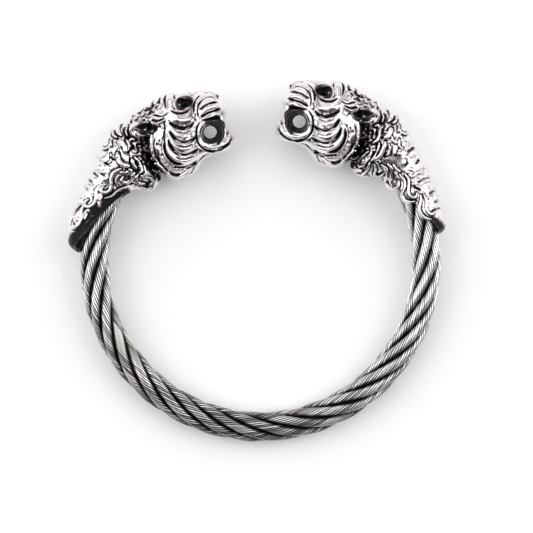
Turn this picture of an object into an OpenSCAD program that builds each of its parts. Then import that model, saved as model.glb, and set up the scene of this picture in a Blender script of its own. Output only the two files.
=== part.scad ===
// Open bangle of six-strand wire rope, ending in two cast tiger heads that face each other.
// It is drawn with its ring in the XY plane and then laid on its side, heads towards +Y.

/* [Rope ring] */
// Clear diameter inside the rope
inner_d = 62.5; // [61.5:0.5:64]
// Diameter over the six strands
rope_d = 6.2; // [6:0.1:6.4]
// Length of rope in which a strand winds once round
lay_length = 41.9; // [38:0.1:46]
// Gap between a strand and its neighbours
strand_gap = 0.06; // [0.04:0.01:0.12]
// Angle above the X axis at which the rope ends inside each head
socket_angle = 44; // [40:1:46]

/* [Tiger heads] */
// How far one head turns outwards and the other inwards from their common pose
head_pitch = 1.85; // [0:0.05:2]
// Height of the raised ornament, as a share of its full height
relief = 1; // [0.8:0.05:1.1]
// Clearance between the rope and its socket
socket_play = 0.1; // [0.08:0.01:0.15]
// Radius of the open mouth where it narrows at the middle
mouth_r = 1.35; // [1:0.05:1.5]

/* [Hidden] */

// Facets: exact curves, the rope's socket, and the small, middle and large cast forms
exact_fn = 96;
bore_sides = 16;
bore_ring_fn = 60;
small_fn = 6;
middle_fn = 8;
mass_fn = 10;
large_mass_fn = 12;
large_mass_length = 5.5;
mouth_fn = 12;

ring_r = inner_d / 2 + rope_d / 2;
// The heads are tabled for this ring radius and move with the real one
tabled_ring_r = 34.35;
head_bearing = 50;
head_move = (ring_r - tabled_ring_r) * [cos(head_bearing), sin(head_bearing)];
pitch_centre = [28, 19.6];

// Strands lie side by side on a circle, and clear each other although they slant
strands = 6;
strand_sides = 6;
strand_steps = 46;
strand_slant = 18;
strand_ratio = sin(180 / strands) * cos(strand_slant);
strand_r = (rope_d / 2 * strand_ratio - strand_gap / 2) / (1 + strand_ratio);
strand_ring_r = rope_d / 2 - strand_r;
first_strand_angle = 59;
rope_sweep = 180 + 2 * socket_angle;
core_gap = 0.15;
core_r = strand_ring_r - strand_r - core_gap;

// Muscle masses: centre in the ring plane, half length, half height, half width, turn
MASS_X = 0;
MASS_Y = 1;
MASS_A = 2;
MASS_B = 3;
MASS_C = 4;
MASS_TURN = 5;
MASSES = [
    [16.6, 29.5, 6.3, 6.4, 6.2, 0],    // cranium
    [15.9, 24.7, 5.6, 6.8, 7.0, 0],    // cheek
    [11.8, 28.0, 4.0, 4.8, 5.3, 0],    // snout
    [10.4, 32.3, 3.6, 3.7, 4.6, 0],    // upper muzzle
    [7.0, 25.8, 2.9, 2.5, 3.4, -20],   // chin
    [11.2, 24.7, 4.4, 2.7, 4.8, -18],  // jaw
    [21.8, 26.4, 5.4, 7.0, 5.3, 20],   // neck
    [25.6, 23.0, 8.2, 4.6, 6.1, 56],   // mane collar
];

// Mouth: the see-through middle, the wider outer opening and the lip round it
mouth_middle = [9.3, 27.8];
mouth_outer = [9.0, 27.2];
mouth_outer_r = 1.95;
mouth_half_w = 4.3;
mouth_wall = 0.9;
mouth_flare = 1.5;
lip_r = 2.5;
lip_half_thick = 0.54;
lip_sink = 0.3;
// Slot in front, between the fangs
front_slot_at = [3.5, 28.9];
front_slot_r = 0.65;
front_slot_half_w = 1.0;
front_slot_length = 5.5;

eye_at = [14.5, 33.9, 3.9];
eye_socket = [1.75, 1.2, 1.5];
eyeball_r = 1.05;
eyeball_sink = 0.75;
ear_at = [24.1, 29.1, 5.2];
ear_size = [2.3, 1.9, 1.9];
ear_hollow_at = [23.3, 29.2, 6.9];
ear_hollow = [1.5, 1.15, 1.6];

// Raised ornament of one side: height, then the points that it follows
RIDGES = [
    // whisker rows
    [0.50, [[7.6, 35.0], [9.0, 35.5], [10.6, 35.1], [11.8, 34.1]]],
    [0.50, [[7.4, 33.9], [8.8, 34.3], [10.2, 33.8], [11.2, 32.8]]],
    [0.50, [[7.1, 32.7], [8.5, 32.8], [9.8, 32.2], [10.7, 31.2]]],
    [0.50, [[6.9, 31.5], [8.1, 31.3], [9.3, 30.5]]],
    // lower eyelid
    [0.45, [[13.4, 32.5], [14.8, 31.9], [16.2, 31.9], [17.5, 32.5]]],
    // cheek folds
    [0.60, [[12.5, 28.0], [13.7, 27.0], [15.0, 26.8], [16.4, 27.4], [17.7, 28.8]]],
    [0.60, [[12.3, 25.3], [13.4, 24.5], [14.9, 24.2], [16.4, 24.8], [17.8, 26.3]]],
    [0.60, [[11.8, 22.9], [13.1, 22.0], [15.0, 21.7], [16.8, 22.4], [18.2, 23.9], [18.6, 25.8]]],
    // jowl and its crest
    [0.75, [[14.3, 19.4], [16.6, 19.3], [18.6, 20.6], [19.8, 22.8], [20.1, 25.2], [19.6, 28.0]]],
    [0.65, [[12.9, 20.6], [14.6, 18.7], [16.9, 18.1], [19.3, 19.6], [20.9, 22.2], [21.6, 25.2],
            [21.2, 28.0], [18.9, 30.3]]],
    // roll of the lower lip
    [0.55, [[4.7, 26.9], [5.6, 24.9], [7.6, 23.9], [10.2, 23.5]]],
];

// Curled locks of the mane collar
LOCKS = [
    [0.70, [[28.3, 29.8], [28.5, 28.4], [27.6, 27.2]]],
    [0.75, [[28.4, 26.6], [27.2, 25.6], [27.1, 24.0]]],
    [0.75, [[28.6, 23.7], [28.1, 22.2], [26.4, 21.2]]],
    [0.75, [[25.9, 22.5], [25.3, 20.9], [23.9, 19.5]]],
    [0.60, [[23.2, 20.8], [21.8, 19.7], [21.4, 18.5], [22.4, 17.9]]],
    [0.60, [[21.5, 17.9], [20.9, 16.8], [21.9, 16.0], [23.4, 16.4]]],
];

// Scrolls along the lower edge of the cape, which differ from one head to the other
LEFT_SCROLLS = [
    [0.50, [[26.3, 19.7], [25.5, 18.4], [27.2, 17.6]]],
    [0.55, [[28.2, 20.2], [29.7, 19.2], [29.9, 17.2], [30.6, 15.7], [32.0, 15.9], [31.1, 16.9]]],
    [0.55, [[31.4, 17.3], [32.9, 16.5], [33.2, 14.6], [34.2, 12.9], [35.4, 13.3], [34.5, 14.2]]],
    [0.55, [[35.3, 13.5], [36.3, 11.8], [36.7, 9.6], [37.8, 8.2], [38.5, 8.6]]],
];
RIGHT_SCROLLS = [
    [0.50, [[24.6, 18.2], [24.6, 17.0], [26.0, 16.6]]],
    [0.55, [[26.0, 17.9], [27.2, 16.8], [27.1, 14.9], [28.3, 13.6], [29.5, 14.4], [28.7, 15.3]]],
    [0.55, [[29.2, 16.6], [30.9, 15.4], [30.7, 13.0], [30.8, 11.3], [32.7, 11.0], [32.7, 12.4]]],
    [0.55, [[33.9, 12.0], [34.3, 10.2], [34.1, 8.3], [35.3, 7.1], [36.5, 7.7], [35.9, 8.4]]],
];
// An ornament bar is this much broader than a regular triangle, and this far sunk in
bar_spread = 1.4;
bar_sink = 0.1;
bar_end_share = 0.45;

// Cape over the rope: angle along the ring, half wrap, reach outwards, reach sideways
CAPE_PHI = 0;
CAPE_WRAP = 1;
CAPE_CROWN = 2;
CAPE_SIDE = 3;
CAPE = [
    [5.4, 20, 4.2, 3.8],
    [6.4, 40, 4.8, 3.9],
    [8.2, 50, 5.1, 4.0],
    [11.5, 68, 5.1, 4.0],
    [15.5, 85, 5.0, 4.0],
    [20.0, 106, 5.0, 4.0],
    [24.6, 124, 4.9, 4.0],
    [28.5, 142, 4.9, 4.1],
    [32.0, 165, 5.1, 4.5],
    [36.0, 176, 5.7, 5.0],
    [41.0, 176, 6.4, 5.4],
];
cape_points = 9;
cape_skin_r = 4.1;
cape_skin_end = 38;

// Tufts of fur on the cape: angle along the ring, height above the rope line, side angles
TUFT_ROWS = [
    [13, 4.85, [0, 36]],
    [19, 4.75, [18, 54]],
    [25, 4.65, [0, 36]],
    [31, 4.85, [18, 54]],
    [37, 5.55, [0]],
];
tuft_r = 0.75;
tuft_half_length = 1.8;
tuft_lean = 14;

// Rest: the bangle lies on both cheeks and on the far side of the rope
rest_half_w = 6.78 + 0.6 * relief;
rest_contact = [15.9, 24.7];
rest_tilt = asin((rest_half_w - rope_d / 2) / (rest_contact.y + ring_r));
// The right cheek stands farther forward than the left one, which rolls the bangle a little
cheek_step = 2 * (pitch_centre.x - rest_contact.x) * sin(head_pitch);
rest_roll = asin(sin(rest_tilt) * cheek_step / (2 * rest_contact.x));
// Middle of the whole, seen from above
head_top_y = 36.95;
tail_y = 5;
rest_centre = [(tail_y - pitch_centre.y) * sin(head_pitch), (head_top_y - ring_r - rope_d / 2) / 2];
rest_lift = rope_d / 2 + (ring_r + rest_centre.y) * sin(rest_tilt);

function mass_height(m, x, y) =
    let (
        dx = x - m[MASS_X],
        dy = y - m[MASS_Y],
        u = (dx * cos(m[MASS_TURN]) + dy * sin(m[MASS_TURN])) / m[MASS_A],
        v = (dy * cos(m[MASS_TURN]) - dx * sin(m[MASS_TURN])) / m[MASS_B],
        left = 1 - u * u - v * v
    )
    left > 0 ? m[MASS_C] * sqrt(left) : 0;

function cape_height(x, y) =
    let (
        off = norm([x, y]) - tabled_ring_r,
        left = cape_skin_r * cape_skin_r - off * off
    )
    atan2(y, x) < cape_skin_end && left > 0 ? sqrt(left) : 0;

// Height of the head and cape above the ring plane at a point seen from the side
function skin_height(x, y) =
    max(cape_height(x, y), max([for (m = MASSES) mass_height(m, x, y)]));

function unit(v) = v / norm(v);

function mirrored(at, side) = [at.x, at.y, side * at.z];

function direction(path, i) =
    unit(path[min(i + 1, len(path) - 1)] - path[max(i - 1, 0)]);

// Faces of a stack of rings with n points each, closed at both ends
function ring_faces(rings, n) = concat(
    [[for (i = [0 : n - 1]) i]],
    [for (r = [0 : rings - 2], i = [0 : n - 1], half = [0, 1])
        half == 0
            ? [r * n + i, (r + 1) * n + i, r * n + (i + 1) % n]
            : [r * n + (i + 1) % n, (r + 1) * n + i, (r + 1) * n + (i + 1) % n]],
    [[for (i = [n - 1 : -1 : 0]) (rings - 1) * n + i]]
);

// Three-sided bar that follows a path with one edge outwards; its height is given at every point
module bar(path, heights, side) {
    points = [for (k = [0 : len(path) - 1], turn = [90, 210, 330])
        let (
            along = direction(path, k),
            across = unit(cross([0, 0, side], along)),
            up = cross(along, across)
        )
        path[k] + heights[k] * (bar_spread * cos(turn) * across + sin(turn) * up)];
    polyhedron(points, ring_faces(len(path), 3), convexity = 4);
}

// Raised ornament laid on the skin, lower at both ends
module ornament(rows, side) {
    for (row = rows) {
        last = len(row[1]) - 1;
        path = [for (p = row[1]) [p.x, p.y, side * (skin_height(p.x, p.y) - bar_sink)]];
        heights = [for (i = [0 : last])
            row[0] * relief * (bar_end_share + (1 - bar_end_share) * sin(180 * i / last))];
        bar(path, heights, side);
    }
}

module ball(at, size, fn = small_fn) {
    translate(at) scale(size) sphere(1, $fn = fn);
}

module masses() {
    for (m = MASSES)
        translate([m[MASS_X], m[MASS_Y], 0])
            rotate(m[MASS_TURN])
                scale([m[MASS_A], m[MASS_B], m[MASS_C]])
                    sphere(1, $fn = m[MASS_A] > large_mass_length ? large_mass_fn : mass_fn);
}

module mouth_block() {
    height = 2 * (mouth_half_w - lip_sink);
    translate([mouth_outer.x, mouth_outer.y, 0])
        cylinder(r = mouth_outer_r + mouth_wall, h = height, center = true, $fn = mouth_fn);
}

module mouth_disc(at, height, r) {
    translate([at.x, at.y, height])
        cylinder(r = r, h = 0.1, center = true, $fn = mouth_fn);
}

module mouth_opening() {
    for (side = [-1, 1])
        hull() {
            mouth_disc(mouth_middle, 0, mouth_r);
            mouth_disc(mouth_outer, side * (mouth_half_w + mouth_flare), mouth_outer_r);
        }
}

module mouth_front() {
    hull()
        for (side = [-1, 1])
            translate([front_slot_at.x, front_slot_at.y, side * front_slot_half_w])
                rotate([0, 90, 0])
                    cylinder(r = front_slot_r, h = front_slot_length, $fn = mass_fn);
}

module lip_ring(side) {
    translate([mouth_outer.x, mouth_outer.y, side * (mouth_half_w - lip_sink)])
        rotate_extrude($fn = mouth_fn)
            translate([lip_r, 0])
                circle(lip_half_thick, $fn = 4);
}

module eye_hollow(side) {
    ball(mirrored(eye_at, side), eye_socket, middle_fn);
}

module eyeball(side) {
    ball(mirrored(eye_at - [0, 0, eyeball_sink], side), eyeball_r * [1, 1, 1], middle_fn);
}

module brow(side) {
    hull() {
        ball([17.3, 34.9, side * 3.4], [0.9, 0.7, 0.9]);
        ball([17.3, 33.1, side * 4.9], [0.8, 0.8, 0.8]);
    }
}

module cheekbone(side) {
    hull() {
        ball([13.5, 30.3, side * 5.1], [0.8, 0.7, 0.8]);
        ball([16.0, 30.4, side * 5.9], [0.8, 0.6, 0.8]);
    }
}

module fang(side) {
    hull() {
        ball([6.5, 30.2, side * 2.3], [0.7, 0.5, 0.7]);
        ball([6.2, 27.6, side * 2.1], [0.45, 0.5, 0.45]);
    }
}

// Nose pad at the front, and the bridge that runs back from it
module nose() {
    hull() {
        ball([7.4, 34.9, 0], [0.8, 0.8, 1.8]);
        ball([7.0, 33.4, 0], [0.6, 0.6, 1.0]);
        ball([9.6, 34.9, 0], [1.2, 1.2, 1.6]);
    }
    hull() {
        ball([9.0, 35.3, 0], [1.2, 0.9, 1.5]);
        ball([14.0, 35.3, 0], [1.2, 0.9, 1.3]);
    }
}

module ear(side) {
    difference() {
        ball(mirrored(ear_at, side), ear_size, middle_fn);
        ball(mirrored(ear_hollow_at, side), ear_hollow, middle_fn);
    }
}

// Stripe that crosses the crown of the head from one side to the other
module stripe(x, y, half_w) {
    hull()
        for (side = [-1, 1])
            ball([x, y, side * half_w], [0.4, 0.6, 0.4]);
}

// Pointed tuft: a low double pyramid, its ends along Y and its top along X
module tuft() {
    polyhedron(
        [[0, -tuft_half_length, 0], [0, tuft_half_length, 0],
         [tuft_r * relief, 0, 0], [-tuft_r, 0, 0], [0, 0, tuft_r], [0, 0, -tuft_r]],
        [[0, 4, 2], [0, 2, 5], [0, 5, 3], [0, 3, 4], [1, 2, 4], [1, 5, 2], [1, 3, 5], [1, 4, 3]]
    );
}

module tufts() {
    for (row = TUFT_ROWS, turn = row[2], side = turn == 0 ? [1] : [-1, 1])
        rotate(row[0])
            translate([ring_r, 0, 0])
                rotate([0, -side * turn, 0])
                    translate([row[1], 0, 0])
                        rotate(tuft_lean)
                            tuft();
}

module cape() {
    points = [for (row = CAPE, i = [0 : cape_points])
        let (
            turn = row[CAPE_WRAP] * (1 - 2 * i / cape_points),
            flatten = min(1, 1 - cos(turn)),
            reach = row[CAPE_CROWN] + (row[CAPE_SIDE] - row[CAPE_CROWN]) * flatten,
            r = ring_r + reach * cos(turn)
        )
        [r * cos(row[CAPE_PHI]), r * sin(row[CAPE_PHI]), reach * sin(turn)]];
    polyhedron(points, ring_faces(len(CAPE), cape_points + 1), convexity = 6);
}

// Space of the rope: it runs free of the cape's tail and ends just past the rope's own end
module rope_bore() {
    tail_free = 6;
    end_play = 0.6;
    rotate(-tail_free)
        rotate_extrude(angle = socket_angle + tail_free + end_play, $fn = bore_ring_fn)
            translate([ring_r, 0])
                circle((rope_d / 2 + socket_play) / cos(180 / bore_sides), $fn = bore_sides);
}

module face() {
    difference() {
        union() {
            masses();
            mouth_block();
            nose();
        }
        mouth_opening();
        mouth_front();
        for (side = [-1, 1])
            eye_hollow(side);
    }
    for (side = [-1, 1]) {
        lip_ring(side);
        fang(side);
        eyeball(side);
        brow(side);
        cheekbone(side);
        ear(side);
        ornament(RIDGES, side);
        ornament(LOCKS, side);
    }
    stripe(19.4, 35.0, 1.6);
    stripe(21.2, 33.9, 2.0);
}

// One tiger head as it stands at the +X end of the rope, with the cape behind it
module head_casting(scrolls, pitch) {
    difference() {
        translate(pitch_centre)
            rotate(pitch)
                translate(-pitch_centre) {
                    cape();
                    tufts();
                    translate(head_move) {
                        face();
                        for (side = [-1, 1])
                            ornament(scrolls, side);
                    }
                }
        rope_bore();
    }
}

// Centre of a strand, a share of the way from the left head round to the right one
function strand_centre(index, share) =
    let (
        phi = 180 - socket_angle + rope_sweep * share,
        run = PI / 180 * ring_r * rope_sweep * share,
        turn = first_strand_angle + 360 / strands * index - 360 * run / lay_length,
        r = ring_r + strand_ring_r * cos(turn)
    )
    [r * cos(phi), r * sin(phi), strand_ring_r * sin(turn)];

module strand(index) {
    step = 0.001;
    points = [for (k = [0 : strand_steps], i = [0 : strand_sides - 1])
        let (
            share = k / strand_steps,
            centre = strand_centre(index, share),
            along = unit(strand_centre(index, share + step) - strand_centre(index, share - step)),
            phi = 180 - socket_angle + rope_sweep * share,
            outward = unit(centre - ring_r * [cos(phi), sin(phi), 0]),
            across = unit(cross(along, outward)),
            out = cross(across, along),
            angle = 360 * i / strand_sides
        )
        centre + strand_r * (cos(angle) * out + sin(angle) * across)];
    polyhedron(points, ring_faces(strand_steps + 1, strand_sides), convexity = 8);
}

module laid_on_its_side() {
    translate([0, 0, rest_lift])
        rotate([rest_tilt, rest_roll, 0])
            translate(-rest_centre)
                children();
}

module rope_strand(index) {
    color("lightgray")
        laid_on_its_side()
            strand(index);
}

module cable_core() {
    color("gray")
        laid_on_its_side()
            rotate(180 - socket_angle)
                rotate_extrude(angle = rope_sweep, $fn = exact_fn)
                    translate([ring_r, 0])
                        circle(core_r, $fn = exact_fn);
}

module left_head() {
    color("silver")
        laid_on_its_side()
            mirror([1, 0, 0])
                head_casting(LEFT_SCROLLS, head_pitch);
}

module right_head() {
    color("silver")
        laid_on_its_side()
            head_casting(RIGHT_SCROLLS, -head_pitch);
}

rope_strand(0);  // strand_1
rope_strand(1);  // strand_2
rope_strand(2);  // strand_3
rope_strand(3);  // strand_4
rope_strand(4);  // strand_5
rope_strand(5);  // strand_6
cable_core();
left_head();
right_head();
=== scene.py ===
"""Wire-rope bangle with two tiger heads: its looks, floor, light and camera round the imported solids."""
import copy
import math

import bpy
import numpy as np
import openvdb
from mathutils import Matrix, Vector


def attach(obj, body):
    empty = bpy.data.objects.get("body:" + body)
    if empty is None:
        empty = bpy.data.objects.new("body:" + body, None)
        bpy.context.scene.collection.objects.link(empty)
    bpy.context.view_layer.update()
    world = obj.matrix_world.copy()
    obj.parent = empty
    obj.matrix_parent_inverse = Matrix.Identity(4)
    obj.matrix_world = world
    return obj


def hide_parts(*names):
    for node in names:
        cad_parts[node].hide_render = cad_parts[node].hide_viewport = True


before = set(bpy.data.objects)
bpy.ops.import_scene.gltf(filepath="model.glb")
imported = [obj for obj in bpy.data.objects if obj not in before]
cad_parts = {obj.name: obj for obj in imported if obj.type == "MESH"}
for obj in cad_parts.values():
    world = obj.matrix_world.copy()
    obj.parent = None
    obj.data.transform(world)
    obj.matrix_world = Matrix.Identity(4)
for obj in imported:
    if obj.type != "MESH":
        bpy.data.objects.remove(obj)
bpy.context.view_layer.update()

# Lengths are in millimetres, but for the floor and the lamps, which are in metres
MM = 0.001

# Rope and rest pose, in millimetres and degrees, as in the part's source
RING_R = 34.35
ROPE_D = 6.2
LAY_LENGTH = 41.9
STRANDS = 6
STRAND_GAP = 0.06
STRAND_SLANT = 18
FIRST_STRAND_ANGLE = 59
SOCKET_ANGLE = 44
SOCKET_PLAY = 0.1
HEAD_PITCH = 1.85
PITCH_CENTRE = (28.0, 19.6)
REST_HALF_W = 7.38
REST_CONTACT = (15.9, 24.7)
HEAD_TOP_Y = 36.95
TAIL_Y = 5

STRAND_RATIO = math.sin(math.pi / STRANDS) * math.cos(math.radians(STRAND_SLANT))
STRAND_R = (ROPE_D / 2 * STRAND_RATIO - STRAND_GAP / 2) / (1 + STRAND_RATIO)
STRAND_RING_R = ROPE_D / 2 - STRAND_R
ROPE_SWEEP = math.radians(180 + 2 * SOCKET_ANGLE)
REST_TILT = math.asin((REST_HALF_W - ROPE_D / 2) / (REST_CONTACT[1] + RING_R))
CHEEK_STEP = 2 * (PITCH_CENTRE[0] - REST_CONTACT[0]) * math.sin(math.radians(HEAD_PITCH))
REST_ROLL = math.asin(math.sin(REST_TILT) * CHEEK_STEP / (2 * REST_CONTACT[0]))
REST_CENTRE = (
    (TAIL_Y - PITCH_CENTRE[1]) * math.sin(math.radians(HEAD_PITCH)),
    (HEAD_TOP_Y - RING_R - ROPE_D / 2) / 2,
)
REST_LIFT = ROPE_D / 2 + (RING_R + REST_CENTRE[1]) * math.sin(REST_TILT)

# From the ring's own plane, in millimetres, to the bangle at rest, in metres
RING_TO_REST = (
    Matrix.Scale(MM, 4)
    @ Matrix.Translation((0, 0, REST_LIFT))
    @ Matrix.Rotation(REST_ROLL, 4, "Y")
    @ Matrix.Rotation(REST_TILT, 4, "X")
    @ Matrix.Translation((-REST_CENTRE[0], -REST_CENTRE[1], 0))
)

# Camera: the photograph looks straight along the ring's axis
PHOTO_SIZE = 533
PHOTO_MM_PER_PIXEL = 0.20665
RING_CENTRE_PIXEL = (260.5, 260.5)
PHOTO_ROLL = math.radians(3)
LENS = 150
SENSOR = 36


def place_object(name, data):
    thing = bpy.data.objects.new(name, data)
    bpy.context.scene.collection.objects.link(thing)
    return thing


def make_camera():
    plane = RING_TO_REST.to_3x3().normalized()
    ring_x, ring_y, ring_z = plane.col
    right = ring_x * math.cos(PHOTO_ROLL) - ring_y * math.sin(PHOTO_ROLL)
    up = ring_x * math.sin(PHOTO_ROLL) + ring_y * math.cos(PHOTO_ROLL)
    pixel = PHOTO_MM_PER_PIXEL * MM
    target = RING_TO_REST @ Vector((0, 0, 0))
    target += right * (PHOTO_SIZE / 2 - RING_CENTRE_PIXEL[0]) * pixel
    target -= up * (PHOTO_SIZE / 2 - RING_CENTRE_PIXEL[1]) * pixel
    distance = PHOTO_SIZE * pixel * LENS / SENSOR
    data = bpy.data.cameras.new("camera")
    data.lens = LENS
    data.sensor_width = SENSOR
    data.clip_start = 10 * MM
    camera = place_object("camera", data)
    turn = Matrix((right, up, ring_z)).transposed().to_4x4()
    camera.matrix_world = Matrix.Translation(target + ring_z * distance) @ turn
    bpy.context.scene.camera = camera


make_camera()
bpy.context.scene.view_settings.view_transform = "Standard"

# Materials: colour by tone, from bright metal at 0 to the darkest oxide at 1, and on the steel wire from
# bright to the deepest painted shade
SILVER_TONES = [
    (0.0, (0.86, 0.842, 0.834)),
    (0.15, (0.76, 0.732, 0.724)),
    (0.38, (0.42, 0.37, 0.365)),
    (0.60, (0.095, 0.080, 0.082)),
    (0.80, (0.006, 0.006, 0.008)),
]
STEEL_TONES = [
    (0.0, (0.90, 0.895, 0.88)),
    (0.35, (0.40, 0.395, 0.385)),
    (0.70, (0.07, 0.066, 0.062)),
    (1.0, (0.018, 0.014, 0.013)),
]
CORE_TONES = [
    (0.3, (0.06, 0.06, 0.06)),
    (0.7, (0.14, 0.14, 0.14)),
]
# Tones between which oxide takes over from metal, and how much the blotches shift the tone
OXIDE_TONES = (0.50, 0.75)
BLOTCH_SHARE = 0.25
SILVER_ROUGHNESS = (0.18, 0.40)
# Noise scales, for each metre
BLOTCH_SCALE = 900
CAST_GRAIN_SCALE = 2600
WIRE_GRAIN_SCALE = 3500
CORE_GRAIN_SCALE = 1200


class Shading:
    """Nodes of a material or a world, made with their inputs."""

    def __init__(self, owner, last):
        owner.use_nodes = True
        self.tree = owner.node_tree
        self.last = self.tree.nodes[last]

    def fill(self, node, inputs):
        """Sets inputs by name or number, each to a value or linked from the socket of another node."""
        for key, value in inputs.items():
            if isinstance(value, bpy.types.NodeSocket):
                self.tree.links.new(value, node.inputs[key])
            else:
                node.inputs[key].default_value = value

    def finish(self, inputs):
        self.fill(self.last, inputs)

    def node(self, kind, inputs, operation=None):
        node = self.tree.nodes.new(kind)
        if operation:
            node.operation = operation
        self.fill(node, inputs)
        return node

    def patina_and_shade(self):
        node = self.node("ShaderNodeAttribute", {})
        node.attribute_name = "patina_and_shade"
        return node.outputs["Fac"]

    def noise(self, scale, detail, space="Object"):
        place = self.node("ShaderNodeTexCoord", {}).outputs[space]
        inputs = {"Vector": place, "Scale": scale, "Detail": detail}
        return self.node("ShaderNodeTexNoise", inputs).outputs["Fac"]

    def ramp(self, source, stops):
        node = self.node("ShaderNodeValToRGB", {"Fac": source})
        elements = node.color_ramp.elements
        while len(elements) < len(stops):
            elements.new(0.5)
        for element, (place, colour) in zip(elements, stops):
            element.position = place
            element.color = (*colour, 1)
        return node.outputs["Color"]

    def spread(self, source, low, high, start=0.0, stop=1.0):
        inputs = {"Value": source, "From Min": start, "From Max": stop, "To Min": low, "To Max": high}
        return self.node("ShaderNodeMapRange", inputs).outputs["Result"]

    def bump(self, height, distance, strength):
        inputs = {"Height": height, "Distance": distance, "Strength": strength}
        return self.node("ShaderNodeBump", inputs).outputs["Normal"]


def new_material(name):
    material = bpy.data.materials.new(name)
    return material, Shading(material, "Principled BSDF")


def silver_material():
    """Cast silver: polished on the high places, oxidised nearly black in the hollows."""
    material, shading = new_material("oxidised_cast_silver")
    blotches = {0: shading.noise(BLOTCH_SCALE, 3), 1: BLOTCH_SHARE, 2: shading.patina_and_shade()}
    mixed = shading.node("ShaderNodeMath", blotches, "MULTIPLY_ADD").outputs[0]
    tone = shading.node("ShaderNodeMath", {0: mixed, 1: BLOTCH_SHARE / 2}, "SUBTRACT").outputs[0]
    shading.finish({
        "Base Color": shading.ramp(tone, SILVER_TONES),
        "Metallic": shading.spread(tone, 1.0, 0.0, *OXIDE_TONES),
        "Specular IOR Level": 0.12,
        "Roughness": shading.spread(tone, *SILVER_ROUGHNESS),
        "Normal": shading.bump(shading.noise(CAST_GRAIN_SCALE, 4), 0.03 * MM, 0.35),
    })
    return material


def steel_material():
    """Drawn steel wire: bright where it faces out, dark down between the wires and strands, as painted shade.
    """
    material, shading = new_material("drawn_steel_wire")
    shading.finish({
        "Base Color": shading.ramp(shading.patina_and_shade(), STEEL_TONES),
        "Metallic": 1.0,
        "Roughness": 0.24,
        "Normal": shading.bump(shading.noise(WIRE_GRAIN_SCALE, 3), 0.01 * MM, 0.3),
    })
    return material


def core_material():
    material, shading = new_material("rope_core_steel")
    grain = shading.noise(CORE_GRAIN_SCALE, 3)
    shading.finish({"Base Color": shading.ramp(grain, CORE_TONES), "Metallic": 1.0, "Roughness": 0.5})
    return material


# Rope: every strand is a ring of fine wires wound the other way round
WIRES = 11
WIRE_R = 0.224
WIRE_SIDES = 10
WIRE_LAY = 8.4
ROPE_STEP = 0.62
FILLER_R = 0.66
FILLER_SIDES = 12
SEED = 7

# Painted shade of a wire, down its flanks and towards the inside of its strand; a tone by chance; and painted
# light round the ring
FLANK_SHADE = 1.9
INSIDE_SHADE = 0.90
OUTSIDE_FADE = 1.25
CHANCE_SHADE = (-0.32, 0.28)
# Painted light round the ring: the wires lighter at both sides and most on the right, darker at the bottom
PAINTED_SIDE_LIGHT = 0.15
PAINTED_RIGHT_LIGHT = 0.09


def unit(vectors):
    return vectors / np.linalg.norm(vectors, axis=-1, keepdims=True)


def to_rest(points):
    """Points in the ring's frame, in millimetres, laid on the floor, in metres."""
    matrix = np.array(RING_TO_REST)
    return points @ matrix[:3, :3].T + matrix[:3, 3]


def mesh_piece(name, vertices, faces, material):
    mesh = bpy.data.meshes.new(name)
    mesh.from_pydata(np.asarray(vertices).tolist(), [], faces)
    mesh.update()
    mesh.shade_smooth()
    mesh.materials.append(material)
    return place_object(name, mesh)


def store_patina_and_shade(piece, values):
    attribute = piece.data.attributes.new("patina_and_shade", "FLOAT", "POINT")
    attribute.data.foreach_set("value", np.asarray(values, np.float32))


def tube_mesh(centres, outs, acrosses, radius, sides):
    """Vertices, faces and outward directions of a closed tube."""
    angles = np.arange(sides) * 2 * math.pi / sides
    ring = np.cos(angles)[None, :, None] * outs[:, None, :]
    ring = ring + np.sin(angles)[None, :, None] * acrosses[:, None, :]
    vertices = (centres[:, None, :] + radius * ring).reshape(-1, 3)
    faces = []
    last = (len(centres) - 1) * sides
    for start in range(0, last, sides):
        for side in range(sides):
            after = (side + 1) % sides
            faces.append((start + side, start + after, start + sides + after, start + sides + side))
    faces.append(tuple(range(sides - 1, -1, -1)))
    faces.append(tuple(range(last, last + sides)))
    return vertices, faces, ring.reshape(-1, 3)


def strand_route(index):
    """Middle line of a strand: run, angle round the ring, centres, and its directions out and across."""
    length = RING_R * ROPE_SWEEP
    run = np.linspace(0, length, int(length / ROPE_STEP) + 1)
    phi = math.radians(180 - SOCKET_ANGLE) + run / RING_R
    turn = math.radians(FIRST_STRAND_ANGLE + 360 / STRANDS * index) - 2 * math.pi * run / LAY_LENGTH
    ring_out = np.stack([np.cos(phi), np.sin(phi), np.zeros_like(phi)], 1)
    rope_out = np.cos(turn)[:, None] * ring_out + np.sin(turn)[:, None] * np.array([0.0, 0.0, 1.0])
    centres = RING_R * ring_out + STRAND_RING_R * rope_out
    along = unit(np.gradient(centres, axis=0))
    across = unit(np.cross(along, rope_out))
    return run, phi, centres, np.cross(across, along), across


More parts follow.
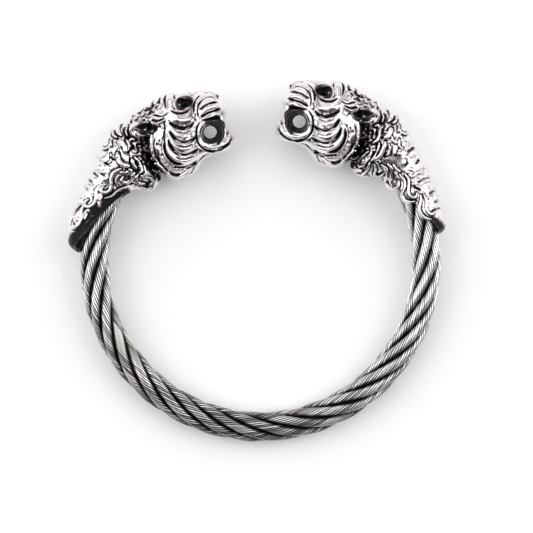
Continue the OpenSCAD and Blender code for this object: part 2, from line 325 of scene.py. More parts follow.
def strand_piece(index, material, chance):
    run, phi, centres, out, across = strand_route(index)
    # Painted light: lighter at both sides of the ring and on the right, darker at the bottom
    painted_light = PAINTED_SIDE_LIGHT * np.cos(2 * phi) + PAINTED_RIGHT_LIGHT * np.cos(phi)
    tubes, shades = [], []
    for wire in range(WIRES):
        beta = 2 * math.pi * (wire / WIRES - run / WIRE_LAY)
        wire_out = np.cos(beta)[:, None] * out + np.sin(beta)[:, None] * across
        wire_centres = centres + (STRAND_R - WIRE_R) * wire_out
        wire_along = unit(np.gradient(wire_centres, axis=0))
        wire_across = unit(np.cross(wire_along, wire_out))
        tubes.append(tube_mesh(wire_centres, wire_out, wire_across, WIRE_R, WIRE_SIDES))
        facing = np.sum(tubes[-1][2] * np.repeat(wire_out, WIRE_SIDES, 0), 1)
        # Painted shade: darker down each wire's flanks and towards the inside of its strand
        flank = np.clip(FLANK_SHADE * (1.0 - facing), 0, 1)
        inside = np.clip(INSIDE_SHADE - OUTSIDE_FADE * np.cos(beta), 0, 1)
        shade = np.maximum(flank, np.repeat(inside, WIRE_SIDES)) - np.repeat(painted_light, WIRE_SIDES)
        shades.append(np.clip(shade + chance.uniform(*CHANCE_SHADE), 0, 1))
    tubes.append(tube_mesh(centres, out, across, FILLER_R, FILLER_SIDES))
    # The filler between the wires takes the darkest tone: painted shade in the gaps
    shades.append(np.ones(len(tubes[-1][0])))
    faces = []
    start = 0
    for points, quads, _ in tubes:
        faces += [tuple(corner + start for corner in face) for face in quads]
        start += len(points)
    vertices = np.concatenate([points for points, _, _ in tubes])
    piece = mesh_piece(f"strand_{index + 1}_wires", to_rest(vertices), faces, material)
    store_patina_and_shade(piece, np.concatenate(shades))
    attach(piece, "root")
    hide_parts(f"strand_{index + 1}")


# Heads: a distance field of half a head, from its middle plane outwards
VOXEL = 0.13
MERGE_FLAT = 0.33
CLAY_LOW = (2.9, 1.3, 0.0)
CLAY_HIGH = (41.2, 38.2, 8.6)
FAR = 2.5
RAY_REACH = 11.0
COMB_REACH = 3
SIGHT_DISTANCE = 459

# A hollow keeps its least share of depth up to a height above the middle plane, and is whole further out
PRESS_LEAST = 0.25
PRESS_FROM = 0.6
PRESS_RUN = 2.0

# The bore is this many degrees longer than the rope at its end
SOCKET_END_PLAY = 0.6

# Muscle masses, close to the part's source: centre, half sizes along and across, half width, turn
MASSES = [
    (16.6, 29.5, 6.3, 6.4, 6.2, 0),
    (15.9, 24.7, 5.6, 6.8, 7.0, 0),
    (11.8, 28.0, 4.0, 4.8, 5.3, 0),
    (10.4, 32.3, 3.6, 3.7, 4.6, 0),
    (8.5, 31.7, 2.8, 2.5, 4.0, 0),
    (7.0, 25.8, 2.9, 2.5, 3.4, -20),
    (11.2, 24.7, 4.4, 2.7, 4.8, -18),
    (21.8, 26.4, 5.4, 7.0, 5.3, 20),
    (25.15, 22.35, 7.4, 4.6, 6.1, 56),
]
MASS_BLEND = 0.7

MOUTH_MIDDLE = (9.25, 27.65)
MOUTH_OUTER = (8.9, 27.2)
MOUTH_R = 1.25
MOUTH_OUTER_R = 2.35
MOUTH_WALL = 0.7
MOUTH_HALF_W = 4.3
MOUTH_INSET = 0.3
MOUTH_FLARE = 0.4
FRONT_SLOT_Y = 28.9
FRONT_SLOT_HALF = (0.75, 2.1)
FRONT_SLOT_END = 7.3
LIP = [
    # open in front, under the whiskers
    (10.2, 29.4, 3.9), (11.15, 28.1, 4.1), (11.4, 26.6, 4.1), (11.0, 25.3, 4.1), (10.1, 24.4, 4.1),
    (8.9, 24.2, 4.1), (7.6, 24.4, 4.0), (6.4, 24.9, 3.6), (5.6, 25.8, 3.0), (5.2, 26.9, 2.5),
    (5.3, 27.8, 2.3),
]
LIP_THICK = 0.36
FANG = [(7.0, 30.4, 2.3), (6.6, 29.0, 2.25), (6.5, 27.4, 2.1)]
FANG_RADII = [0.7, 0.5, 0.3]

NOSE_FORMS = [
    # centre, half sizes, blend
    ((8.7, 34.9, 0), (1.6, 1.1, 2.0), 0.5),
    ((11.8, 35.2, 0), (3.6, 1.0, 1.4), 0.6),
]
NOSTRIL_AT = (7.6, 34.8, 1.15)
NOSTRIL_SIZE = (0.75, 0.4, 0.45)
LIP_CLEFT = [(6.8, 33.9, 0), (6.1, 32.3, 0), (6.4, 30.6, 0)]
LIP_CLEFT_RADII = [0.28, 0.25, 0.3]

EYE_SOCKETS = [
    # centre, half sizes
    ((13.5, 33.9, 4.4), (0.95, 0.95, 2.3)),
    ((14.9, 33.8, 4.4), (1.05, 0.85, 2.3)),
    ((14.5, 33.1, 4.4), (1.15, 0.75, 2.2)),
]
EYEBALL_AT = (15.1, 33.35, 2.35)
EYEBALL_R = 0.8
UPPER_LID = [(12.5, 34.9), (13.9, 35.2), (15.3, 35.1), (16.3, 34.2), (16.4, 33.0)]
UPPER_LID_R = 0.24
BROW = [(17.3, 35.0, 3.0), (17.3, 33.9, 4.1), (17.2, 32.6, 4.9)]
BROW_RADII = [0.5, 0.75, 0.6]

EAR_AT = (23.6, 28.1, 5.0)
EAR_SIZE = (2.1, 1.7, 1.9)
EAR_HOLLOW_AT = (22.1, 28.2, 6.7)
EAR_HOLLOW = (2.9, 1.3, 2.6)
EAR_RIM = [
    (21.6, 29.6, 5.6), (22.9, 29.4, 6.3), (24.3, 28.9, 6.6), (25.3, 28.2, 6.7), (25.1, 27.4, 6.4),
    (24.5, 26.8, 6.1), (23.8, 26.4, 5.8),
]
EAR_RIM_R = 0.30
EAR_LOBE_AT = (24.2, 27.5, 5.3)
EAR_LOBE = (1.0, 0.65, 1.2)
EAR_LOBE_TURN = 35

# Grooves of the face and neck, in the plane that the photograph shows: half width, depth, points
GROOVES = [
    # cheek folds
    (0.42, 0.80, [(12.6, 29.6), (13.5, 28.8), (14.9, 28.5), (16.3, 28.9), (17.5, 29.7)]),
    (0.42, 0.80, [(12.2, 26.7), (13.3, 25.9), (14.8, 25.6), (16.2, 26.1), (17.6, 27.8)]),
    (0.42, 0.80, [(11.9, 24.2), (13.1, 23.4), (14.9, 23.0), (16.3, 23.5), (17.2, 24.5), (17.9, 26.1)]),
    (0.40, 0.75, [(12.0, 21.8), (13.4, 20.8), (15.1, 20.4), (16.8, 20.6)]),
    (0.45, 0.85, [(18.7, 26.0), (18.6, 24.2), (17.9, 22.6), (16.8, 21.5), (15.4, 21.2)]),
    # fine second lines inside the folds
    (0.16, 0.24, [(12.9, 28.3), (14.6, 27.6), (16.2, 27.9)]),
    (0.16, 0.24, [(12.6, 25.4), (14.3, 24.7), (15.9, 25.0)]),
    (0.16, 0.24, [(12.3, 22.9), (14.8, 22.1), (16.4, 22.5)]),
    # jowl: inner band and crest
    (0.20, 0.26, [(18.6, 27.6), (19.3, 25.9), (19.4, 24.1), (18.9, 22.3), (17.9, 20.8)]),
    (0.17, 0.20, [(20.3, 27.4), (20.9, 25.6), (20.8, 23.8), (20.1, 22.1), (18.7, 20.4)]),
    # corner of the mouth and groove round the lip
    (0.27, 0.45, [(10.9, 30.3), (11.8, 29.0), (12.1, 27.2), (11.8, 25.6), (10.9, 24.4), (9.4, 23.8),
                  (8.2, 23.9)]),
    # whisker rows
    (0.18, 0.28, [(7.9, 34.7), (9.3, 34.9), (10.6, 34.4), (11.9, 33.1)]),
    (0.20, 0.34, [(7.5, 33.8), (8.8, 33.7), (10.2, 33.1), (11.2, 32.3)]),
    (0.38, 0.60, [(7.0, 32.5), (8.3, 32.0), (9.6, 31.5), (10.9, 30.9)]),
    (0.26, 0.50, [(6.8, 30.7), (8.3, 30.4), (9.7, 30.3), (10.8, 30.1)]),
    # behind the whiskers
    (0.20, 0.34, [(10.9, 35.4), (11.9, 34.6), (12.5, 33.2), (12.5, 31.8)]),
    (0.20, 0.34, [(10.9, 34.2), (11.6, 33.2), (11.8, 32.0), (11.6, 31.0)]),
    (0.16, 0.26, [(12.1, 31.8), (12.4, 30.8), (12.2, 29.9)]),
    # bridge of the nose
    (0.20, 0.30, [(7.9, 35.3), (9.0, 35.8), (10.3, 35.8)]),
    (0.20, 0.30, [(11.0, 36.1), (12.2, 35.7), (13.0, 35.3)]),
    (0.16, 0.26, [(9.6, 36.3), (10.8, 36.5), (12.0, 36.2)]),
    # below and round the eye
    (0.25, 0.42, [(13.4, 32.3), (14.7, 31.7), (16.0, 31.7), (17.1, 32.1)]),
    (0.24, 0.42, [(16.5, 35.6), (16.5, 34.4), (16.7, 33.2), (16.5, 32.4)]),
    (0.25, 0.42, [(18.2, 35.6), (18.5, 34.2), (18.2, 32.8)]),
    # temple and cheekbone
    (0.22, 0.30, [(17.5, 32.1), (19.0, 31.1), (20.8, 31.4)]),
    (0.30, 0.35, [(18.3, 30.9), (19.8, 30.2), (21.2, 30.3)]),
    # chin and lower jaw
    (0.22, 0.40, [(4.7, 27.4), (5.0, 26.0), (5.9, 24.8), (7.6, 23.9), (9.5, 23.7), (10.8, 24.2)]),
    (0.18, 0.26, [(8.5, 23.0), (10.3, 23.0), (11.5, 22.0), (12.8, 20.4), (13.5, 19.0)]),
    # notches along the top of the head
    (0.26, 0.45, [(19.2, 35.7), (19.5, 34.8), (19.6, 33.9)]),
    (0.24, 0.42, [(20.5, 35.0), (21.0, 34.1), (20.9, 33.2)]),
    (0.26, 0.42, [(22.0, 34.4), (22.6, 33.5)]),
    (0.22, 0.35, [(19.9, 33.4), (20.6, 32.5)]),
    (0.22, 0.35, [(22.6, 32.9), (23.2, 32.2)]),
    (0.22, 0.35, [(24.6, 31.9), (25.2, 31.0)]),
    (0.22, 0.35, [(17.2, 36.0), (17.6, 35.2)]),
    (0.20, 0.32, [(13.3, 36.0), (14.6, 35.8)]),
    (0.20, 0.32, [(8.6, 36.2), (9.5, 36.5)]),
    (0.24, 0.38, [(21.3, 32.7), (22.3, 32.3)]),
    (0.26, 0.42, [(23.6, 33.7), (24.3, 32.7)]),
    (0.24, 0.38, [(25.2, 32.7), (25.8, 31.9)]),
    (0.22, 0.35, [(23.2, 32.1), (24.0, 31.7)]),
    (0.26, 0.42, [(26.6, 31.4), (27.3, 30.5)]),
    (0.30, 0.45, [(28.1, 30.0), (28.9, 28.9)]),
    # the deep cut between face and mane, and the hollow that the locks lie in
    (1.20, 2.00, [(21.9, 29.9), (22.4, 28.4), (22.8, 26.4), (22.7, 24.0), (21.9, 21.7)]),
    (1.20, 1.60, [(22.4, 22.6), (21.6, 21.0), (20.5, 19.7), (18.9, 18.2)]),
    (1.30, 0.80, [(24.6, 26.4), (24.2, 24.2), (23.4, 22.2), (22.2, 20.2), (21.2, 18.6)]),
    (1.10, 0.80, [(26.9, 29.4), (26.4, 27.4), (25.9, 25.2), (25.6, 23.2), (25.0, 21.0), (24.2, 19.0)]),
]

# Raised bands on the skin: half width, height, points
BANDS = [
    (0.62, 0.55, [(18.6, 30.4), (20.2, 29.4), (21.2, 27.7), (21.5, 25.5), (21.1, 23.2), (20.1, 21.1),
                  (18.5, 19.3), (16.6, 18.3), (14.9, 18.7), (13.6, 20.0)]),
    (0.55, 0.35, [(12.6, 27.8), (13.7, 27.1), (15.0, 27.0), (16.3, 27.5), (17.5, 29.1)]),
    (0.55, 0.35, [(12.4, 25.2), (13.5, 24.5), (14.9, 24.2), (16.3, 24.7), (17.6, 26.2)]),
    (0.55, 0.35, [(12.0, 22.9), (13.3, 22.0), (15.0, 21.7), (16.7, 22.2), (18.0, 23.7), (18.5, 25.6)]),
    (0.50, 0.35, [(7.4, 34.0), (8.8, 34.2), (10.3, 33.7), (11.3, 32.7)]),
    (0.50, 0.35, [(7.1, 32.8), (8.5, 32.9), (9.9, 32.3), (10.8, 31.4)]),
    (0.50, 0.35, [(6.8, 31.4), (8.2, 31.2), (9.4, 30.7), (10.4, 30.2)]),
    (0.45, 0.30, [(13.3, 32.8), (14.8, 32.1), (16.3, 32.1), (17.6, 32.8)]),
    (0.80, 0.45, [(13.1, 30.5), (14.6, 30.2), (16.4, 30.5)]),
    # beads along the crown
    (0.55, 0.40, [(19.0, 34.9), (19.1, 34.3)]),
    (0.50, 0.40, [(20.2, 34.4), (20.4, 33.8)]),
    (0.55, 0.42, [(21.3, 33.7), (21.6, 33.1)]),
    (0.50, 0.40, [(22.6, 33.1), (22.9, 32.4)]),
    (0.55, 0.42, [(23.9, 32.2), (24.1, 31.6)]),
    (0.45, 0.40, [(25.1, 31.5), (25.3, 30.9)]),
    (0.48, 0.50, [(19.3, 33.2), (19.6, 32.9)]),
    (0.48, 0.50, [(20.4, 32.7), (20.8, 32.4)]),
    (0.48, 0.50, [(21.7, 32.3), (22.0, 31.9)]),
    (0.45, 0.50, [(22.9, 31.7), (23.2, 31.4)]),
    (0.45, 0.50, [(24.2, 31.1), (24.5, 30.7)]),
    (0.42, 0.45, [(21.4, 31.4), (21.7, 31.1)]),
    (0.42, 0.45, [(22.6, 30.9), (22.9, 30.7)]),
    (0.42, 0.45, [(23.9, 30.3), (24.2, 30.0)]),
    (0.45, 0.40, [(25.7, 30.4), (25.9, 29.8)]),
]

# Thin ridges down in the folds, with the oxide taken off them so that they show as bright lines, a painted
# highlight: points
FOLD_RIDGES = [
    [(13.0, 28.95), (14.9, 28.35), (16.7, 28.95)],
    [(12.7, 26.05), (14.8, 25.45), (16.6, 26.25)],
    [(12.5, 23.5), (14.9, 22.85), (16.8, 23.95)],
    [(12.8, 20.95), (15.1, 20.25), (16.4, 20.4)],
    [(18.6, 25.4), (18.2, 23.4), (17.1, 21.8)],
    [(7.9, 31.95), (9.5, 31.4), (10.6, 30.8)],
]
FOLD_RIDGE_W = 0.19
FOLD_RIDGE_RISE = 0.45
FOLD_RIDGE_SHINE = 0.85

# Curled locks of the mane collar, which differ from head to head: radius, points
SHARED_LOCKS = [
    (0.42, [(27.4, 29.7), (28.1, 29.1), (28.3, 28.1), (27.6, 27.3)]),
    (0.30, [(26.3, 29.0), (26.6, 28.1), (26.4, 27.2)]),
    (0.30, [(24.8, 26.4), (25.5, 26.5), (26.0, 25.8), (25.8, 24.9)]),
    (0.26, [(29.3, 28.6), (29.2, 27.4), (28.5, 26.9)]),
]
LEFT_LOCKS = SHARED_LOCKS + [
    (0.50, [(27.9, 26.3), (27.0, 25.2), (26.8, 23.9)]),
    (0.26, [(26.6, 26.4), (26.1, 25.2), (26.3, 24.2)]),
    (0.50, [(28.5, 23.7), (28.2, 22.2), (27.3, 21.2), (26.1, 21.0)]),
    (0.42, [(25.5, 22.4), (25.2, 21.2), (24.6, 20.4)]),
    (0.26, [(25.0, 22.9), (24.0, 21.7), (23.4, 20.0), (24.2, 19.4)]),
    (0.36, [(24.2, 19.2), (24.8, 18.3), (24.2, 17.4), (23.0, 17.3)]),
    (0.36, [(22.2, 18.6), (21.1, 17.8), (21.2, 16.6), (22.6, 16.1), (23.8, 16.6)]),
    (0.26, [(22.0, 17.6), (22.6, 17.2)]),
]
RIGHT_LOCKS = SHARED_LOCKS + [
    (0.55, [(28.2, 25.8), (27.7, 24.6), (26.9, 23.8)]),
    (0.34, [(25.6, 26.0), (25.8, 24.7), (25.2, 23.4), (24.4, 22.9)]),
    (0.45, [(26.9, 23.0), (26.5, 21.5), (25.7, 20.1), (24.6, 19.2)]),
    (0.26, [(25.7, 23.0), (25.4, 21.4), (24.6, 20.0), (23.9, 19.1)]),
    (0.30, [(23.5, 21.2), (22.1, 20.1), (21.2, 18.9), (21.6, 18.1), (22.5, 18.3)]),
    (0.30, [(23.6, 18.9), (23.2, 17.6), (22.0, 16.4), (20.9, 16.6)]),
    (0.32, [(24.5, 18.5), (24.9, 17.5), (24.5, 16.6), (25.6, 16.1), (26.6, 16.7)]),
]

# Scrolls along the cape's lower edge: radius, points
LEFT_SCROLLS = [
    (0.36, [(25.0, 19.6), (25.6, 18.4), (26.6, 17.6), (27.8, 17.9), (27.4, 18.8)]),
    (0.40, [(27.8, 20.5), (29.3, 19.7), (29.9, 18.4), (29.9, 17.0), (30.3, 16.0), (31.3, 15.5), (32.1, 16.1),
            (31.5, 16.8)]),
    (0.24, [(28.3, 19.3), (28.9, 18.0), (28.7, 16.7)]),
    (0.40, [(31.0, 17.3), (32.3, 16.9), (33.0, 15.8), (33.1, 14.4), (33.8, 13.1), (34.9, 12.7), (35.5, 13.5),
            (34.7, 14.2)]),
    (0.40, [(35.5, 13.2), (36.2, 11.8), (36.3, 10.2), (36.9, 8.9), (37.8, 8.5), (38.0, 9.4)]),
    (0.24, [(36.4, 13.2), (37.5, 11.7), (38.4, 9.8), (38.7, 7.9)]),
    (0.24, [(35.0, 11.4), (35.5, 10.0)]),
    (0.20, [(25.2, 17.2), (27.2, 16.6), (28.8, 15.8), (30.0, 14.8), (31.4, 14.4)]),
]
RIGHT_SCROLLS = [
    (0.30, [(26.0, 18.4), (27.1, 17.5), (27.3, 16.2), (26.9, 15.1), (27.3, 14.1), (28.4, 13.4), (29.5, 13.8),
            (29.6, 15.0)]),
    (0.30, [(27.3, 18.6), (28.2, 17.5), (28.1, 16.1), (28.3, 15.0)]),
    (0.28, [(28.5, 18.5), (29.0, 17.5), (30.0, 16.8)]),
    (0.30, [(29.8, 16.3), (30.7, 15.0), (30.8, 13.6), (30.3, 12.2), (30.7, 11.0), (31.8, 10.5),
            (32.8, 10.7)]),
    (0.30, [(30.8, 16.5), (31.6, 15.2), (31.6, 13.8), (31.5, 12.5), (32.1, 11.6), (32.9, 11.5),
            (33.3, 12.4)]),
    (0.30, [(34.0, 12.0), (34.1, 10.8), (33.7, 9.4), (34.0, 8.1), (34.9, 7.2), (36.1, 6.9)]),
    (0.30, [(34.7, 12.0), (35.2, 10.7), (35.1, 9.4), (35.4, 8.4), (36.1, 7.9), (36.8, 8.5)]),
]
# Webs that close the loops of the right head's scrolls where they overhang the rope: points
RIGHT_WEBS = [
    [(27.9, 16.6), (28.3, 15.4), (28.6, 14.4)],
    [(30.9, 13.6), (31.2, 12.4), (31.9, 11.4)],
    [(34.6, 10.6), (34.6, 9.2), (35.2, 8.0)],
]

# Moats round the locks and scrolls, what backs the scrolls, and how deep or high they all lie
MOAT = 0.36
MOAT_DEPTH = 0.50
MOAT_MOST = 0.6
BACKING_R = 0.5
BACKING_SINK = 0.6
WEB_R = 0.9
WEB_SINK = 1.05
ROOT_SINK = 0.3
LOCK_RISE = 0.1
SCROLL_RUB = 0.12

# Streaks of the fur: half width, depth, points
LEFT_STREAKS = [
    (0.24, 0.45, [(18.9, 30.4), (18.6, 28.8), (18.8, 27.2), (18.7, 25.9)]),
    (0.20, 0.35, [(20.0, 29.4), (20.9, 27.9), (21.1, 26.4)]),
    (0.26, 0.40, [(5.4, 25.2), (6.3, 24.7), (7.4, 24.3)]),
    (0.30, 0.36, [(30.9, 19.0), (31.9, 19.5)]),
    (0.30, 0.36, [(32.4, 18.8), (33.3, 19.6)]),
    (0.30, 0.36, [(33.6, 17.6), (34.3, 18.2)]),
    (0.30, 0.36, [(34.6, 16.1), (35.2, 16.8)]),
    (0.30, 0.36, [(35.9, 14.3), (36.6, 14.9)]),
    (0.30, 0.36, [(37.0, 12.6), (37.5, 13.2)]),
    (0.30, 0.36, [(30.2, 21.3), (31.2, 21.7)]),
    (0.30, 0.36, [(28.9, 22.2), (29.8, 22.8)]),
]
RIGHT_STREAKS = [
    (0.40, 0.45, [(31.3, 20.7), (32.6, 21.7)]),
    (0.40, 0.45, [(30.2, 17.5), (31.4, 18.6)]),
    (0.40, 0.45, [(35.6, 12.0), (36.9, 12.9)]),
    (0.40, 0.45, [(36.7, 10.2), (37.8, 11.2)]),
    (0.30, 0.35, [(36.0, 8.3), (36.9, 8.9), (37.9, 9.2)]),
    (0.32, 0.42, [(33.0, 18.2), (33.7, 19.2)]),
    (0.26, 0.35, [(34.3, 16.9), (34.8, 17.5)]),
    (0.17, 0.24, [(31.9, 15.6), (32.7, 16.5), (33.9, 17.1)]),
    (0.17, 0.24, [(32.2, 15.0), (33.1, 15.9), (34.4, 16.4)]),
    (0.24, 0.32, [(33.3, 14.2), (34.3, 15.1), (35.7, 15.5)]),
    (0.17, 0.24, [(33.9, 13.6), (34.9, 14.4), (36.0, 14.7)]),
    (0.30, 0.35, [(32.4, 13.9), (33.2, 13.4), (33.9, 12.9)]),
    (0.22, 0.32, [(27.4, 22.2), (26.9, 21.0), (26.7, 19.8)]),
    (0.20, 0.27, [(28.6, 22.6), (28.3, 21.3), (28.0, 20.2)]),
    (0.20, 0.27, [(29.8, 22.0), (29.3, 20.9), (29.0, 19.9)]),
    (0.20, 0.27, [(30.6, 23.3), (30.1, 22.4)]),
    (0.20, 0.27, [(29.2, 24.6), (28.9, 23.6)]),
]

# Cape over the rope, close to the part's source: angle along the ring, half wrap, crown, side
CAPE = [
    (5.4, 20, 4.2, 3.8),
    (6.4, 40, 4.8, 3.9),
    (8.2, 50, 5.1, 4.0),
    (11.5, 68, 5.1, 4.0),
    (15.5, 85, 5.0, 4.0),
    (20.0, 106, 5.0, 4.0),
    (24.6, 124, 4.9, 4.0),
    (28.5, 142, 4.9, 4.1),
    (32.0, 165, 5.1, 4.5),
    (36.0, 176, 5.7, 5.0),
    (41.0, 176, 6.4, 5.4),
]
TAIL_ROUND = 0.25
TAIL_PAST = 0.3
CAPE_SKIN_R = 4.15
CAPE_SKIN_END = 38

# Oxide that the hollows don't explain, or less of it: half width, strength, points
STAINS = [
    (3.0, 2.2, [(8.9, 27.3), (9.0, 27.4)]),
    (0.8, 1.4, [(10.0, 29.9), (8.7, 30.2), (7.2, 29.7), (6.3, 28.8)]),
    (0.5, 1.3, [(6.5, 28.8), (6.6, 27.4), (6.9, 26.2), (7.6, 25.3)]),
    (0.5, -1.2, [(10.3, 29.7), (11.2, 28.3), (11.5, 26.7), (11.1, 25.4), (10.2, 24.5), (9.0, 24.3),
                 (7.7, 24.5)]),
    (0.3, -1.4, [(6.4, 24.9), (5.6, 25.8), (5.2, 26.9)]),
    (2.2, 1.6, [(13.9, 33.9), (14.7, 33.6)]),
    (2.0, 0.22, [(19.5, 33.8), (22.5, 32.4), (25.5, 30.8)]),
    (0.9, 0.30, [(18.8, 31.7), (20.3, 30.9)]),
    (1.3, 1.2, [(21.3, 29.0), (23.2, 29.2)]),
    (0.9, -1.6, [(24.2, 27.9), (25.0, 28.2)]),
    (1.3, 1.0, [(22.4, 28.0), (22.8, 25.4), (22.4, 22.8), (21.0, 20.4), (19.6, 18.9)]),
    (1.6, 0.5, [(24.2, 24.0), (23.4, 21.4)]),
]
# Painted highlights: bare metal in the dark of the eye and the ear, where glints show: half width, how bare,
# points
GLINTS = [
    (0.32, 0.9, [(15.3, 33.4), (15.7, 33.6)]),
    (0.28, 0.7, [(13.4, 32.9), (14.2, 32.6)]),
    (0.30, 0.4, [(15.2, 34.4), (15.7, 34.1)]),
    (0.50, 0.4, [(22.7, 28.6), (23.6, 28.0)]),
]
# Per head, in the same columns: oxide; on the left head also painted shade under the cape's edge, and painted
# highlights within it
LEFT_STAINS_AND_PAINTED_LIGHT = [
    (0.7, 0.42, [(14.0, 29.3), (15.3, 29.0), (16.4, 29.4)]),
    (0.7, 0.40, [(14.6, 27.4), (15.6, 26.9), (16.6, 27.4)]),
    (0.8, 0.45, [(13.4, 25.2), (14.8, 24.6), (16.2, 25.0)]),
    (0.8, 0.40, [(17.7, 23.6), (18.4, 25.2)]),
    # painted shade: the dark band where the cape's lower wall and the rope beneath it lie in shadow, partly
    # oxide on the wall
    (2.3, 2.2, [(27.6, 15.4), (29.2, 14.8), (30.8, 13.6), (32.6, 12.0), (34.2, 10.2), (35.2, 8.2),
                (35.9, 6.0)]),
    (3.2, 1.8, [(36.6, 5.9), (37.6, 4.8), (38.0, 3.7)]),
    # painted highlights: lit places on the webs and scrolls within that band, where the oxide is taken off
    (0.65, -1.8, [(32.2, 15.4), (32.5, 14.0), (32.3, 12.7)]),
    (0.50, -1.8, [(34.8, 11.9), (35.3, 10.5)]),
    (0.45, -1.8, [(35.6, 11.5), (36.0, 10.3)]),
    (0.60, -1.2, [(28.4, 16.8), (29.2, 16.0), (29.3, 15.2)]),
    (0.45, -1.2, [(33.2, 11.4), (33.6, 10.2)]),
]
RIGHT_STAINS = [
    (0.8, 0.45, [(17.2, 22.2), (18.3, 23.6), (18.9, 25.4)]),
    (0.7, 0.35, [(14.2, 29.4), (15.8, 29.2)]),
    (1.2, 0.55, [(28.0, 20.4), (29.3, 19.9), (29.9, 19.2)]),
    (0.9, 0.6, [(32.6, 14.2), (33.4, 13.2)]),
    (0.5, 0.45, [(31.8, 16.6), (32.4, 17.1)]),
    (2.0, 1.9, [(36.2, 6.2), (37.2, 5.2), (38.2, 4.0)]),
]

# The two heads: name, side, locks, scrolls, webs, streaks, and stains with painted light
HEADS = [
    ("left_head", -1, LEFT_LOCKS, LEFT_SCROLLS, [], LEFT_STREAKS, LEFT_STAINS_AND_PAINTED_LIGHT),
    ("right_head", 1, RIGHT_LOCKS, RIGHT_SCROLLS, RIGHT_WEBS, RIGHT_STREAKS, RIGHT_STAINS),
]


def smooth_union(a, b, blend):
    near = np.maximum(blend - np.abs(a - b), 0) / blend
    return np.minimum(a, b) - near * near * blend / 4


def curve(points, step=0.3):
    """Smooth path through the points, with a point every step or so."""
    p = np.asarray(points, float)
    p = np.concatenate([2 * p[:1] - p[1:2], p, 2 * p[-1:] - p[-2:-1]])
    path = [p[1]]
    for a, b, c, d in zip(p[:-3], p[1:-2], p[2:-1], p[3:]):
        count = max(2, int(np.linalg.norm(c - b) / step))
        for t in np.arange(1, count + 1) / count:
            path.append(0.5 * (2 * b + (c - a) * t + (2 * a - 5 * b + 4 * c - d) * t ** 2
                               + (3 * b - a - 3 * c + d) * t ** 3))
    return np.array(path)


def swell(count, least):
    """Share of full size along a stroke: least at both ends, whole over the middle."""
    return least + (1 - least) * np.minimum(1, 2.2 * np.sin(np.linspace(0, math.pi, count)))


def soft_profile(off):
    """Height of a soft ridge, 1 on its line and 0 at its edge, where off is 1."""
    return np.maximum(1 - off * off, 0) ** 1.5


def inside_grid(field, place):
    """Places in voxels, kept where the cells on both sides exist."""
    return np.clip(place, 0, np.array(field.shape) - 1.001)


def bilinear(field, place):
    place = inside_grid(field, place)
    low = place.astype(int)
    u, v = (place - low).T
    i, j = low.T
    return (field[i, j] * (1 - u) * (1 - v) + field[i + 1, j] * u * (1 - v)
            + field[i, j + 1] * (1 - u) * v + field[i + 1, j + 1] * u * v)


def trilinear(field, place):
    low = place.astype(int)
    u, v, w = np.moveaxis(place - low, -1, 0)
    i, j, k = np.moveaxis(low, -1, 0)
    total = 0
    for di, fu in ((0, 1 - u), (1, u)):
        for dj, fv in ((0, 1 - v), (1, v)):
            for dk, fw in ((0, 1 - w), (1, w)):
                total = total + field[i + di, j + dj, k + dk] * fu * fv * fw
    return total


